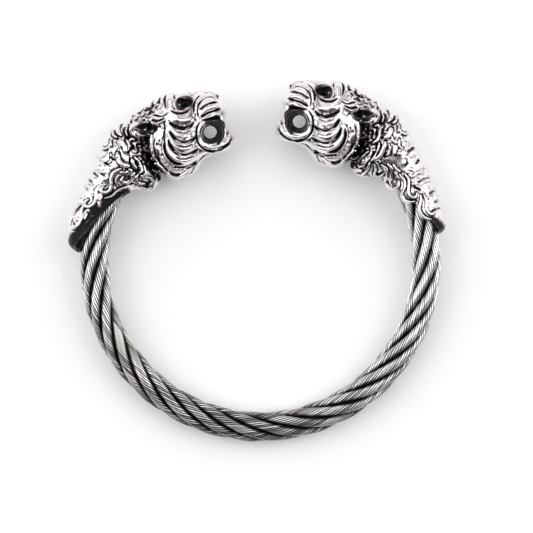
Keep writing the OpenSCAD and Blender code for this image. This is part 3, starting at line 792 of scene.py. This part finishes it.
class Clay:
    """Half a head as a field of distances to its surface, positive outside, with maps of its side view."""

    def __init__(self):
        self.axes = [np.arange(low, high, VOXEL) for low, high in zip(CLAY_LOW, CLAY_HIGH)]
        self.field = np.full([len(axis) for axis in self.axes], FAR, np.float32)
        self.relief, self.stain, self.bare_and_glint = np.zeros((3, *self.field.shape[:2]), np.float32)
        self.height = None
        self.combed = None

    def window(self, low, high):
        """Slices of the voxels between two corners, and their x, y and z."""
        spans = []
        for axis, lo, hi in zip(self.axes, low, high):
            spans.append(slice(int(np.searchsorted(axis, lo)), int(np.searchsorted(axis, hi))))
        x, y, z = [axis[span] for axis, span in zip(self.axes, spans)]
        return tuple(spans), x[:, None, None], y[None, :, None], z[None, None, :]

    def join(self, spans, distance, blend):
        self.field[spans] = smooth_union(self.field[spans], distance, blend)

    def carve(self, spans, distance, blend):
        self.field[spans] = -smooth_union(-self.field[spans], distance, blend)

    def add(self, distance, low, high, blend):
        spans, x, y, z = self.window(low, high)
        self.join(spans, distance(x, y, z), blend)

    def cut(self, distance, low, high, blend):
        spans, x, y, z = self.window(low, high)
        self.carve(spans, distance(x, y, z), blend)

    def measure_height(self):
        """Height of the skin above the middle plane over the side view, on over the rope too."""
        inside = self.field < 0
        count = self.field.shape[2]
        last = count - 1 - np.argmax(inside[:, :, ::-1], axis=2)
        last[~inside.any(axis=2)] = 0
        last = np.minimum(last, count - 2)
        i, j = np.indices(last.shape)
        here, above = self.field[i, j, last], self.field[i, j, last + 1]
        share = np.clip(here / (here - above - 1e-6), 0, 1)
        height = np.where(inside.any(axis=2), (last + share) * VOXEL, 0)
        x, y = self.axes[0][:, None], self.axes[1][None, :]
        off = np.hypot(x, y) - RING_R
        over_rope = np.sqrt(np.maximum(CAPE_SKIN_R ** 2 - off * off, 0))
        over_rope[np.degrees(np.arctan2(y, x)) > CAPE_SKIN_END] = 0
        self.height = np.maximum(height, over_rope)

    def skin(self, path):
        """Height of the skin at points of the side view."""
        place = (np.asarray(path) - np.array(CLAY_LOW[:2])) / VOXEL
        return bilinear(self.height, place)

    def seen(self, points):
        """Where points of the photo's plane lie on the skin, which is nearer to the camera."""
        points = np.asarray(points, float)
        return points * (1 - self.skin(points) / SIGHT_DISTANCE)[:, None]

    def stroke(self, target, points, half_w, amount, least=0.4):
        """Adds a soft line to a map of the side view, thinner at both ends."""
        path = curve(self.seen(points))
        spans, x, y, _ = self.window((*(path.min(0) - half_w), 0), (*(path.max(0) + half_w), 1))
        x, y = x[:, :, 0], y[:, :, 0]
        size = swell(len(path), least)
        profile = np.zeros(np.broadcast(x, y).shape)
        for a, b, wide in zip(path[:-1], path[1:], size):
            step = b - a
            t = np.clip(((x - a[0]) * step[0] + (y - a[1]) * step[1]) / (step @ step), 0, 1)
            off = np.hypot(x - a[0] - t * step[0], y - a[1] - t * step[1]) / (half_w * wide)
            profile = np.maximum(profile, wide * soft_profile(off))
        target[spans[:2]] += amount * profile

    def strokes(self, target, rows, sign=1, least=0.4):
        """Adds rows of half width, amount and points to a map of the side view."""
        for half_w, amount, points in rows:
            self.stroke(target, points, half_w, sign * amount, least)

    def press_relief(self):
        """Moves the skin out by the relief map, or in where it is negative, less near the middle plane."""
        share = np.clip(PRESS_LEAST + (self.axes[2] - PRESS_FROM) / PRESS_RUN, PRESS_LEAST, 1)
        self.field -= self.relief[:, :, None] * np.where(self.relief[:, :, None] < 0, share, 1)
        self.relief[:] = 0

    def tube(self, path, radii, blend):
        """Distance to a round bar along a path in space, and the voxels near it."""
        path, radii = np.asarray(path), np.asarray(radii)
        room = radii.max() + blend + VOXEL
        spans, x, y, z = self.window(path.min(0) - room, path.max(0) + room)
        nearest = np.full(np.broadcast(x, y, z).shape, FAR)
        for a, b, ra, rb in zip(path[:-1], path[1:], radii[:-1], radii[1:]):
            step = b - a
            dx, dy, dz = x - a[0], y - a[1], z - a[2]
            t = np.clip((dx * step[0] + dy * step[1] + dz * step[2]) / (step @ step), 0, 1)
            gap = (dx - t * step[0]) ** 2 + (dy - t * step[1]) ** 2 + (dz - t * step[2]) ** 2
            nearest = np.minimum(nearest, np.sqrt(gap) - ra - t * (rb - ra))
        return spans, nearest

    def add_tube(self, path, radii, blend):
        self.join(*self.tube(path, radii, blend), blend)

    def add_on_skin(self, points, radius, sink):
        """A round bar laid along the skin, as deep in it as sink says."""
        flat = curve(self.seen(points))
        path = np.column_stack([flat, self.skin(flat) - sink])
        self.add_tube(path, radius * swell(len(path), 0.5), 0.1)

    def surface(self, origin, direction):
        """Outermost point of the surface along a ray from inside, or None."""
        steps = np.arange(0, RAY_REACH, VOXEL / 2)
        points = np.asarray(origin) + steps[:, None] * np.asarray(direction)
        place = (points - np.array(CLAY_LOW)) / VOXEL
        place[:, 2] = np.abs(place[:, 2])
        inside = np.nonzero(trilinear(self.field, inside_grid(self.field, place)) < 0)[0]
        return points[inside[-1]] if len(inside) else None


def ellipsoid(at, size, turn=0.0):
    """Distance to an ellipsoid turned in the side view, and the corners of the space that it touches."""
    cos, sin = math.cos(math.radians(turn)), math.sin(math.radians(turn))

    def distance(x, y, z):
        dx, dy = x - at[0], y - at[1]
        u = (dx * cos + dy * sin) / size[0]
        v = (dy * cos - dx * sin) / size[1]
        w = (z - at[2]) / size[2]
        near = np.sqrt(u * u + v * v + w * w) + 1e-6
        slope = np.sqrt((u / size[0]) ** 2 + (v / size[1]) ** 2 + (w / size[2]) ** 2) + 1e-6
        return near * (near - 1) / slope

    room = max(size) + 1.0
    return distance, [c - room for c in at], [c + room for c in at]


def cape_distance(x, y, z):
    """Shell over the rope that narrows to a tongue at the tail. Its inside is cut out later."""
    angles, wraps, crowns, sides = np.array(CAPE).T
    phi = np.degrees(np.arctan2(y, x))
    rho = np.hypot(x, y) - RING_R
    reach = np.hypot(rho, z)
    turn = np.degrees(np.arctan2(z, rho))
    crown = np.interp(phi, angles, crowns)
    side = np.interp(phi, angles, sides)
    wrap = np.interp(phi, angles, wraps)
    flat = np.minimum(1, 1 - np.cos(np.radians(turn)))
    outside = reach - (crown + (side - crown) * flat)
    edge = np.radians(turn - wrap) * reach
    tail = np.radians(angles[0] - phi) * RING_R + TAIL_ROUND * (reach - crown / 2) ** 2 - TAIL_PAST
    neck = np.radians(phi - angles[-1]) * RING_R
    return np.maximum(np.maximum(outside, edge), np.maximum(tail, neck))


def mouth_block(x, y, z):
    across = np.hypot(x - MOUTH_OUTER[0], y - MOUTH_OUTER[1]) - (MOUTH_OUTER_R + MOUTH_WALL)
    return np.maximum(across, z - (MOUTH_HALF_W - MOUTH_INSET))


def mouth_opening(x, y, z):
    share = np.clip(np.abs(z) / (MOUTH_HALF_W + MOUTH_FLARE), 0, 1)
    middle_x = MOUTH_MIDDLE[0] + (MOUTH_OUTER[0] - MOUTH_MIDDLE[0]) * share
    middle_y = MOUTH_MIDDLE[1] + (MOUTH_OUTER[1] - MOUTH_MIDDLE[1]) * share
    r = MOUTH_R + (MOUTH_OUTER_R - MOUTH_R) * share ** 0.7
    return np.hypot(x - middle_x, y - middle_y) - r


def mouth_front(x, y, z):
    """Slot between the lips in front, which opens the mouth towards the other head."""
    across = np.hypot((y - FRONT_SLOT_Y) / FRONT_SLOT_HALF[0], z / FRONT_SLOT_HALF[1]) - 1
    return np.maximum(0.7 * across, x - FRONT_SLOT_END)


def add_masses(clay):
    for x, y, along, across, half_w, turn in MASSES:
        clay.add(*ellipsoid((x, y, 0), (along, across, half_w), turn), MASS_BLEND)


def add_mouth(clay):
    clay.add(mouth_block, low=(4, 22, -1), high=(14, 33, 6), blend=0.6)
    clay.cut(mouth_opening, low=(5, 23, -1), high=(13, 32, 8), blend=0.15)
    clay.cut(mouth_front, low=(2.5, 27, -1), high=(9.5, 31, 3), blend=0.2)


def add_nose(clay):
    for at, size, blend in NOSE_FORMS:
        clay.add(*ellipsoid(at, size), blend)
    clay.cut(*ellipsoid(NOSTRIL_AT, NOSTRIL_SIZE), 0.12)
    clay.carve(*clay.tube(LIP_CLEFT, LIP_CLEFT_RADII, 0.12), 0.12)


def add_lips(clay):
    path = curve(LIP)
    clay.add_tube(path, LIP_THICK * swell(len(path), 0.45), 0.12)


def add_eyes(clay):
    for at, size in EYE_SOCKETS:
        clay.cut(*ellipsoid(at, size), 0.15)
    clay.add(*ellipsoid(EYEBALL_AT, (EYEBALL_R,) * 3), 0.05)
    clay.add_on_skin(UPPER_LID, UPPER_LID_R, 0.05)
    clay.add_tube(BROW, BROW_RADII, 0.7)


def add_ears(clay):
    clay.add(*ellipsoid(EAR_AT, EAR_SIZE), 0.2)
    clay.cut(*ellipsoid(EAR_HOLLOW_AT, EAR_HOLLOW), 0.12)
    rim = curve(EAR_RIM)
    clay.add_tube(rim, EAR_RIM_R * swell(len(rim), 0.5), 0.1)
    clay.add(*ellipsoid(EAR_LOBE_AT, EAR_LOBE, EAR_LOBE_TURN), 0.1)


def on_ring(turn):
    """Outward direction in the side view at an angle round the ring."""
    return np.array([math.cos(turn), math.sin(turn)])


# Fur on the mane and the cape: rows of low pointed tufts, combed outwards and back
TUFT_STATIONS = [
    # point inside, and the outward direction in the side view
    ((19.0, 28.5), 82), ((20.6, 27.6), 76), ((22.2, 26.5), 69), ((23.8, 25.2), 61), ((25.2, 23.6), 53),
    ((26.5, 21.8), 46), ((27.8, 20.0), 40),
]
TUFT_PHI = np.arange(34.0, 12.0, -2.2)
TUFT_ANGLES = (4, 27, 50, 72)
TUFT_STAGGER = 11
TUFT_SWAY = 5
TUFT_LAST_ANGLE = 80
TUFT_LENGTHS = (0.8, 1.25)
TUFT_TURN = 13
TUFT_BACK = 1.5
TUFT_RISE = 0.24
TAIL_TUFT_RISE = 0.15
TUFT_SINK = 0.45
TUFT_ARCH = 0.06
TUFT_RADII = [0.30, 0.52, 0.22]


def tuft_places():
    """Point inside the casting, outward angle and rise of each row of tufts."""
    for at, angle in TUFT_STATIONS:
        yield at, math.radians(angle), TUFT_RISE
    for turn in np.radians(TUFT_PHI):
        yield RING_R * on_ring(turn), turn, TAIL_TUFT_RISE


def add_tufts(clay, chance):
    for row, (at, turn, rise) in enumerate(tuft_places()):
        origin = np.array([*at, 0.0])
        out = np.array([math.cos(turn), math.sin(turn), 0.0])
        back = np.array([math.sin(turn), -math.cos(turn), 0.0])
        for angle in TUFT_ANGLES:
            middle = angle + TUFT_STAGGER * (row % 2) + chance.uniform(-TUFT_SWAY, TUFT_SWAY)
            if middle > TUFT_LAST_ANGLE:
                continue
            length = chance.uniform(*TUFT_LENGTHS)
            path = []
            for share, lean in ((0, 1), (0.5, 0), (1, -1)):
                theta = np.radians(middle + lean * TUFT_TURN * length)
                direction = math.cos(theta) * out + math.sin(theta) * np.array([0, 0, 1.0])
                skin = clay.surface(origin + back * TUFT_BACK * length * share, direction)
                if skin is not None:
                    path.append(skin + direction * (rise - TUFT_SINK))
            if len(path) == 3:
                away = path[1] - origin
                path[1] = path[1] + away / np.linalg.norm(away) * TUFT_ARCH
                clay.add_tube(path, TUFT_RADII, 0.08)


# Fine streaks of the fur over the mane and the cape
STREAK_PHI = np.arange(12.0, 46.0, 1.9)
STREAK_OFFS = np.arange(0.9, 4.6, 0.95)
STREAK_LENGTHS = (0.6, 1.0)
STREAK_LEANS = (-0.5, 0.3)
STREAK_DEPTHS = (0.03, 0.10)
STREAK_W = 0.22


def add_fine_streaks(clay, chance):
    for phi in STREAK_PHI:
        for off in STREAK_OFFS:
            turn = math.radians(phi + chance.uniform(-0.8, 0.8))
            start = (RING_R + off + chance.uniform(-0.4, 0.4)) * on_ring(turn)
            lean = turn + chance.uniform(*STREAK_LEANS)
            end = start + chance.uniform(*STREAK_LENGTHS) * on_ring(lean)
            middle = (start + end) / 2 + chance.uniform(-0.1, 0.1, 2)
            depth = chance.uniform(*STREAK_DEPTHS)
            clay.stroke(clay.relief, [start, middle, end], STREAK_W, -depth)


# Small curls that fill the mane: sink, radius, guide line
HAIR_GUIDES = [
    (0.05, 0.22, [(22.7, 27.1), (22.9, 24.9), (22.3, 22.7), (21.2, 20.6), (19.9, 18.9)]),
    (0.05, 0.26, [(24.3, 26.9), (24.2, 24.9), (23.5, 22.8), (22.4, 20.8), (21.3, 18.9)]),
    (0.05, 0.34, [(26.2, 27.2), (26.1, 25.0), (25.6, 22.8), (24.7, 20.8), (23.5, 18.8), (22.6, 17.4)]),
    (0.08, 0.32, [(28.2, 28.0), (28.3, 25.9), (27.9, 23.7), (27.2, 21.6), (26.2, 19.8)]),
    (0.08, 0.28, [(28.9, 27.9), (29.5, 26.6), (29.8, 25.0), (29.7, 23.4), (29.3, 22.0)]),
]
HAIR_SPACING = 1.9
HAIR_SWAY = 0.5
HAIR_BENDS = (0.5, 0.9)
HAIR_MOAT = 0.3
HAIR_MOAT_DEPTH = 0.4
HAIR_MOAT_MOST = 0.45
HAIR_SHINE = 0.5
CURL_STEP = 0.62
CURL_TURNS = (0, 0.2, 0.9, 2.0)


def hair_curls(chance):
    """Short hooked curls, staggered along each guide line: sink, radius, points."""
    for row, (sink, radius, points) in enumerate(HAIR_GUIDES):
        path = curve(points, 0.1)
        run = np.concatenate([[0], np.cumsum(np.linalg.norm(np.diff(path, axis=0), axis=1))])
        place = HAIR_SPACING * (0.3 + 0.5 * (row % 2))
        while place < run[-1]:
            at, ahead = [np.array([np.interp(there, run, path[:, axis]) for axis in (0, 1)])
                         for there in (place, place + 0.3)]
            heading = math.atan2(*(ahead - at)[::-1]) if place + 0.3 < run[-1] else -math.pi / 2
            heading += chance.uniform(-HAIR_SWAY, HAIR_SWAY)
            bend = chance.choice([-1, 1]) * chance.uniform(*HAIR_BENDS)
            curl = [at + chance.uniform(-0.2, 0.2, 2)]
            for turn in CURL_TURNS:
                curl.append(curl[-1] + CURL_STEP * on_ring(heading + bend * turn))
            yield sink, radius * chance.uniform(0.85, 1.2), curl
            place += HAIR_SPACING * chance.uniform(0.85, 1.15)


def add_hair(clay, chance):
    curls = list(hair_curls(chance))
    for _, radius, points in curls:
        clay.stroke(clay.relief, points, radius + HAIR_MOAT, -HAIR_MOAT_DEPTH, least=0.8)
    clay.relief = np.maximum(clay.relief, -HAIR_MOAT_MOST)
    clay.press_relief()
    for sink, radius, points in curls:
        clay.add_on_skin(points, radius, sink)
        clay.stroke(clay.stain, points, radius, -HAIR_SHINE)


# Specks of bare metal in the dark cut behind the face
SPECK_LINE = [(21.9, 29.0), (22.9, 26.6), (22.7, 24.2), (21.7, 21.6), (20.3, 19.6)]
SPECKS = 75
SPECK_WIDTHS = (0.18, 0.30)
SPECK_RISE = 0.45
SPECK_MOST = 1.4
SPECK_SHINE = (0.5, 0.95)

# Small casting pits on the face: line, spread, count
PIT_LINES = [
    ([(12.5, 31.2), (12.4, 27.5), (12.2, 23.4)], 0.5, 26),
    ([(17.6, 31.2), (18.6, 29.4), (19.3, 27.5), (19.9, 24.5), (19.4, 21.8), (17.6, 19.4)], 0.9, 46),
    ([(13.5, 36.0), (17.0, 35.6), (21.0, 33.0), (25.5, 30.5)], 0.9, 30),
    ([(5.2, 25.6), (8.0, 23.6), (11.5, 22.0)], 0.5, 12),
    ([(8.0, 35.6), (10.0, 36.2), (12.5, 36.2)], 0.4, 14),
]
PIT_WIDTHS = (0.14, 0.22)
PIT_DEPTHS = (0.12, 0.24)


def dashes(chance, line, count, spread, reach):
    """Short straight lines, strewn beside a longer one."""
    path = curve(line, 0.1)
    for _ in range(count):
        at = path[chance.integers(len(path))] + chance.uniform(-spread, spread, 2)
        yield [at, at + chance.uniform(-reach, reach, 2)]


def add_specks(clay, chance):
    for dash in dashes(chance, SPECK_LINE, SPECKS, spread=1.0, reach=0.35):
        half_w = chance.uniform(*SPECK_WIDTHS)
        clay.stroke(clay.bare_and_glint, dash, half_w, chance.uniform(*SPECK_SHINE), least=0.8)
        clay.stroke(clay.relief, dash, half_w + 0.05, SPECK_RISE, least=0.8)
    clay.relief = np.minimum(clay.relief, SPECK_MOST * SPECK_RISE)
    clay.press_relief()


def add_pits(clay, chance):
    for line, spread, count in PIT_LINES:
        for dash in dashes(chance, line, count, spread, reach=0.25):
            half_w = chance.uniform(*PIT_WIDTHS)
            clay.stroke(clay.relief, dash, half_w, -chance.uniform(*PIT_DEPTHS), least=0.8)


# Folds along the underside of the jaw, which the side view doesn't reach: height, first and last place
JAW_FOLDS = [(0.9, 13.4, 18.4), (2.1, 12.4, 19.4), (3.3, 12.4, 19.6)]
JAW_CORE_Y = 24.5
JAW_FOLD_W = 0.45
JAW_FOLD_DEPTH = 0.6
JAW_FOLD_SWAY = 0.22
JAW_FOLD_POINTS = 13


def add_jaw_folds(clay):
    for z, first, last in JAW_FOLDS:
        path = [clay.surface((x, JAW_CORE_Y, z + JAW_FOLD_SWAY * math.sin(1.4 * x + z)), (0, -1, 0))
                for x in np.linspace(first, last, JAW_FOLD_POINTS)]
        narrower = (swell(len(path), 0.3) - 1) * JAW_FOLD_W
        spans, off = clay.tube(path, narrower, JAW_FOLD_W)
        clay.field[spans] += JAW_FOLD_DEPTH * soft_profile(off / JAW_FOLD_W)


def bare_head():
    """What both heads share: the face, the deep cut behind it, the ears and the fur."""
    clay = Clay()
    add_masses(clay)
    add_mouth(clay)
    add_nose(clay)
    clay.add(cape_distance, low=(22, 1.5, -1), high=(41, 27, 8), blend=0.8)
    add_jaw_folds(clay)
    clay.measure_height()
    add_tufts(clay, np.random.default_rng(SEED))
    clay.strokes(clay.relief, GROOVES, -1)
    clay.strokes(clay.relief, BANDS)
    for points in FOLD_RIDGES:
        clay.stroke(clay.relief, points, FOLD_RIDGE_W, FOLD_RIDGE_RISE)
        # Painted highlight: the oxide is taken off the fold ridges
        clay.stroke(clay.bare_and_glint, points, FOLD_RIDGE_W, FOLD_RIDGE_SHINE, least=0.7)
    add_pits(clay, np.random.default_rng(SEED))
    clay.press_relief()
    add_fine_streaks(clay, np.random.default_rng(SEED))
    clay.press_relief()
    smooth = clay.height
    clay.measure_height()
    add_hair(clay, np.random.default_rng(SEED))
    clay.measure_height()
    clay.combed = blurred(clay.height, COMB_REACH)
    clay.height = smooth
    add_specks(clay, np.random.default_rng(SEED))
    # Painted highlights in the eye and the ear
    clay.strokes(clay.bare_and_glint, GLINTS, least=0.8)
    add_lips(clay)
    add_eyes(clay)
    add_ears(clay)
    clay.add_tube(FANG, FANG_RADII, 0.15)
    clay.strokes(clay.stain, STAINS, least=0.9)
    return clay


def add_curls(clay, locks, scrolls, webs, streaks, stains):
    """Locks and scrolls stand in their own moats, and the scrolls are backed where they overhang the rope."""
    for radius, points in locks + scrolls:
        clay.stroke(clay.relief, points, radius + MOAT, -MOAT_DEPTH, least=0.8)
    clay.strokes(clay.relief, streaks, -1)
    clay.relief = np.maximum(clay.relief, -MOAT_MOST)
    clay.press_relief()
    for points in webs:
        clay.add_on_skin(points, WEB_R, WEB_SINK)
    for _, points in scrolls:
        clay.add_on_skin(points, BACKING_R, BACKING_SINK)
    for radius, points in scrolls:
        clay.add_on_skin(points, radius, ROOT_SINK)
        clay.add_on_skin(points, radius, 0.0)
    clay.height = clay.combed
    for radius, points in locks:
        clay.add_on_skin(points, radius, ROOT_SINK)
        clay.add_on_skin(points, radius, -LOCK_RISE)
    # Oxide, and on the left head the painted shade under the cape with painted highlights in it
    clay.strokes(clay.stain, stains, least=0.9)
    covered = np.zeros_like(clay.stain)
    for radius, points in scrolls:
        clay.stroke(covered, points, radius + SCROLL_RUB, 1.0, least=0.9)
    clay.stain *= 1 - np.clip(1.3 * covered, 0, 1)


def blurred(field, reach):
    """Mean of the field over a square or a cube of cells."""
    across = 2 * reach + 1
    for axis in range(field.ndim):
        wide = [(0, 0)] * field.ndim
        wide[axis] = (reach + 1, reach)
        total = np.cumsum(np.pad(field, wide, mode="edge"), axis=axis, dtype=np.float64)
        first = np.arange(field.shape[axis])
        total = np.take(total, first + across, axis=axis) - np.take(total, first, axis=axis)
        field = (total / across).astype(np.float32)
    return field


def pitched(points, degrees):
    """Turns points in the side view about the casting's pitch centre."""
    angle = math.radians(degrees)
    x, y = points[..., 0] - PITCH_CENTRE[0], points[..., 1] - PITCH_CENTRE[1]
    turned = points.copy()
    turned[..., 0] = x * math.cos(angle) - y * math.sin(angle) + PITCH_CENTRE[0]
    turned[..., 1] = x * math.sin(angle) + y * math.cos(angle) + PITCH_CENTRE[1]
    return turned


def cut_bore(clay, pitch):
    """Cuts out the rope's own space, which doesn't pitch with the casting."""
    spans, x, y, z = clay.window((20, 0, -1), (42, 28, 5))
    flat = np.stack(np.broadcast_arrays(x[:, :, 0], y[:, :, 0]), -1)
    turned = pitched(flat, pitch)
    rho = np.hypot(turned[..., 0], turned[..., 1])[:, :, None] - RING_R
    phi = np.arctan2(turned[..., 1], turned[..., 0])[:, :, None]
    bore = np.hypot(rho, z) - (ROPE_D / 2 + SOCKET_PLAY)
    end = (phi - math.radians(SOCKET_ANGLE + SOCKET_END_PLAY)) * RING_R
    clay.carve(spans, np.maximum(bore, end), 0.08)


def largest_part(points, triangles, quads):
    """Drops loose crumbs, so that the mesh is one piece. A triangle repeats its last corner."""
    quads = np.concatenate([quads, triangles[:, [0, 1, 2, 2]]])
    label = np.arange(len(points))
    edges = np.concatenate([quads[:, [0, 1]], quads[:, [1, 2]], quads[:, [2, 3]]])
    while True:
        low = np.minimum(label[edges[:, 0]], label[edges[:, 1]])
        before = label.copy()
        np.minimum.at(label, edges[:, 0], low)
        np.minimum.at(label, edges[:, 1], low)
        label = label[label]
        if np.array_equal(before, label):
            break
    names, counts = np.unique(label, return_counts=True)
    keep = label == names[counts.argmax()]
    number = np.cumsum(keep) - 1
    return points[keep], number[quads[keep[quads[:, 0]]]]


# Oxide: dark where nearby metal hides the surroundings, and down in fine hollows
SHELTER_DIRECTIONS = 40
SHELTER_STEPS = (0.35, 0.6, 0.9, 1.3, 1.8, 2.4, 3.1)
SHELTER_START = 1.2
SHELTER_LEAST = 0.14
SHELTER_SHADE = 1.9
HOLLOW_REACH = 2
HOLLOW_LEVEL = 0.01
HOLLOW_SHADE = 4.0
HOLLOW_RANGE = (-0.35, 0.7)
STAIN_MOST = 0.90


def shelter(field, points):
    """Share of the view from each surface point that nearby metal hides. The points are in voxels."""
    slopes = []
    for step in np.eye(3):
        slopes.append(trilinear(field, inside_grid(field, points + step))
                      - trilinear(field, inside_grid(field, points - step)))
    normals = unit(np.stack(slopes, 1) + 1e-9)
    golden = math.pi * (3 - math.sqrt(5))
    seen = np.full(len(points), 1e-6)
    hidden = np.zeros(len(points))
    for index in range(SHELTER_DIRECTIONS):
        z = 1 - (2 * index + 1) / SHELTER_DIRECTIONS
        way = np.array([*(math.sqrt(1 - z * z) * on_ring(golden * index)), z])
        facing = normals @ way
        front = np.nonzero(facing > 0.1)[0]
        blocked = np.zeros(len(front), bool)
        for distance in SHELTER_STEPS:
            at = points[front] + normals[front] * SHELTER_START + way * distance / VOXEL
            place = np.round(at).astype(int)
            inside = ((place >= 0) & (place < field.shape)).all(1)
            place[~inside] = 0
            blocked |= inside & (field[tuple(place.T)] < 0)
        seen[front] += facing[front]
        hidden[front] += facing[front] * blocked
    return hidden / seen


def oxide(clay, whole, points):
    """How dark each surface point is, from 0 to 1."""
    hidden = shelter(whole, points)
    fine = trilinear(blurred(np.clip(whole, -1, 1), HOLLOW_REACH), points)
    hollow = np.clip(SHELTER_SHADE * (hidden - SHELTER_LEAST), 0, 1)
    hollow = hollow + np.clip(-HOLLOW_SHADE * (fine + HOLLOW_LEVEL), *HOLLOW_RANGE)
    # The stain map adds oxide, and on the left head painted shade and painted highlights
    stain = np.minimum(bilinear(clay.stain, points[:, :2]), STAIN_MOST)
    # The bare map takes the oxide off, for bare metal and for painted highlights
    bare_and_glint = np.clip(bilinear(clay.bare_and_glint, points[:, :2]), 0, 1)
    return np.clip(hollow + stain, 0, 1) * (1 - bare_and_glint)


def head_piece(name, clay, pitch, side, material):
    half = np.clip(clay.field, -FAR, FAR)
    whole = np.concatenate([half[:, :, :0:-1], half], axis=2)
    grid = openvdb.FloatGrid(FAR)
    grid.copyFromArray(whole)
    points, triangles, quads = grid.convertToPolygons(isovalue=0.0, adaptivity=MERGE_FLAT)
    points, faces = largest_part(points.astype(float), triangles.astype(int), quads.astype(int))
    patina_and_shade = oxide(clay, whole, points)
    origin = np.array([CLAY_LOW[0], CLAY_LOW[1], -(half.shape[2] - 1) * VOXEL])
    places = pitched(points * VOXEL + origin, pitch)
    places[:, 0] *= side
    corners = places[faces]
    volume = np.einsum("ij,ij->i", corners[:, 0], np.cross(corners[:, 1], corners[:, 2])).sum()
    faces = [face[:3] if face[2] == face[3] else face for face in faces.tolist()]
    if volume < 0:
        faces = [face[::-1] for face in faces]
    piece = mesh_piece(f"{name}_casting", to_rest(places), faces, material)
    store_patina_and_shade(piece, patina_and_shade)
    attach(piece, "root")
    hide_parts(name)


def make_heads(material):
    base = bare_head()
    for name, side, *ornaments in HEADS:
        clay = copy.deepcopy(base)
        add_curls(clay, *ornaments)
        cut_bore(clay, -side * HEAD_PITCH)
        head_piece(name, clay, -side * HEAD_PITCH, side, material)


# Floor and light
FLOOR_REACH = 1.5
FLOOR_COLOUR = (0.93, 0.93, 0.93, 1)
# The floor glows a little, as painted light that lifts its shadows
FLOOR_GLOW = 0.10

# Room: its brightness by how far a direction points up and back, and its brown patches
ROOM_BRIGHT_WAY = (0, 0.45, 0.89)
ROOM_LEVELS = [(0.0, 0.04), (0.25, 0.12), (0.50, 0.45), (0.75, 1.0)]
ROOM_PATCHES = [(0.40, (0.24, 0.205, 0.205)), (0.54, (1.0, 1.0, 1.0))]
ROOM_PATCH_SCALE = 3.2
ROOM_STRENGTH = 1.40

# Softboxes to the left and right: place in metres, power
SOFTBOXES = {
    "softbox_left": ((-0.50, 0.05, 0.36), 1.5),
    "softbox_right": ((0.50, 0.05, 0.36), 1.6),
}
SOFTBOX_SIZE = (0.45, 0.7)


def make_floor():
    material, shading = new_material("white_sweep")
    shading.finish({
        "Base Color": FLOOR_COLOUR,
        "Roughness": 0.8,
        "Specular IOR Level": 0.1,
        "Emission Color": (1, 1, 1, 1),
        "Emission Strength": FLOOR_GLOW,
    })
    corners = [(x * FLOOR_REACH, y * FLOOR_REACH, 0) for x, y in ((-1, -1), (1, -1), (1, 1), (-1, 1))]
    mesh_piece("floor", corners, [(0, 1, 2, 3)], material)


def make_softboxes():
    for name, (place, power) in SOFTBOXES.items():
        data = bpy.data.lights.new(name, "AREA")
        data.shape = "RECTANGLE"
        data.size, data.size_y = SOFTBOX_SIZE
        data.energy = power
        lamp = place_object(name, data)
        lamp.location = place
        lamp.rotation_euler = Vector(place).to_track_quat("Z", "Y").to_euler()


def make_room():
    world = bpy.data.worlds.new("studio")
    shading = Shading(world, "Background")
    way = shading.node("ShaderNodeTexCoord", {}).outputs["Generated"]
    height = shading.node("ShaderNodeVectorMath", {0: way, 1: ROOM_BRIGHT_WAY}, "DOT_PRODUCT")
    levels = [(place, (level,) * 3) for place, level in ROOM_LEVELS]
    levels = shading.ramp(height.outputs["Value"], levels)
    patches = shading.ramp(shading.noise(ROOM_PATCH_SCALE, 2.0, "Generated"), ROOM_PATCHES)
    shade = shading.node("ShaderNodeVectorMath", {0: levels, 1: patches}, "MULTIPLY")
    shading.finish({"Color": shade.outputs["Vector"], "Strength": ROOM_STRENGTH})
    bpy.context.scene.world = world


steel = steel_material()
dice = np.random.default_rng(SEED)
for strand in range(STRANDS):
    strand_piece(strand, steel, dice)
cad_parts["cable_core"].data.materials.clear()
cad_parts["cable_core"].data.materials.append(core_material())
make_heads(silver_material())
make_floor()
make_room()
make_softboxes()
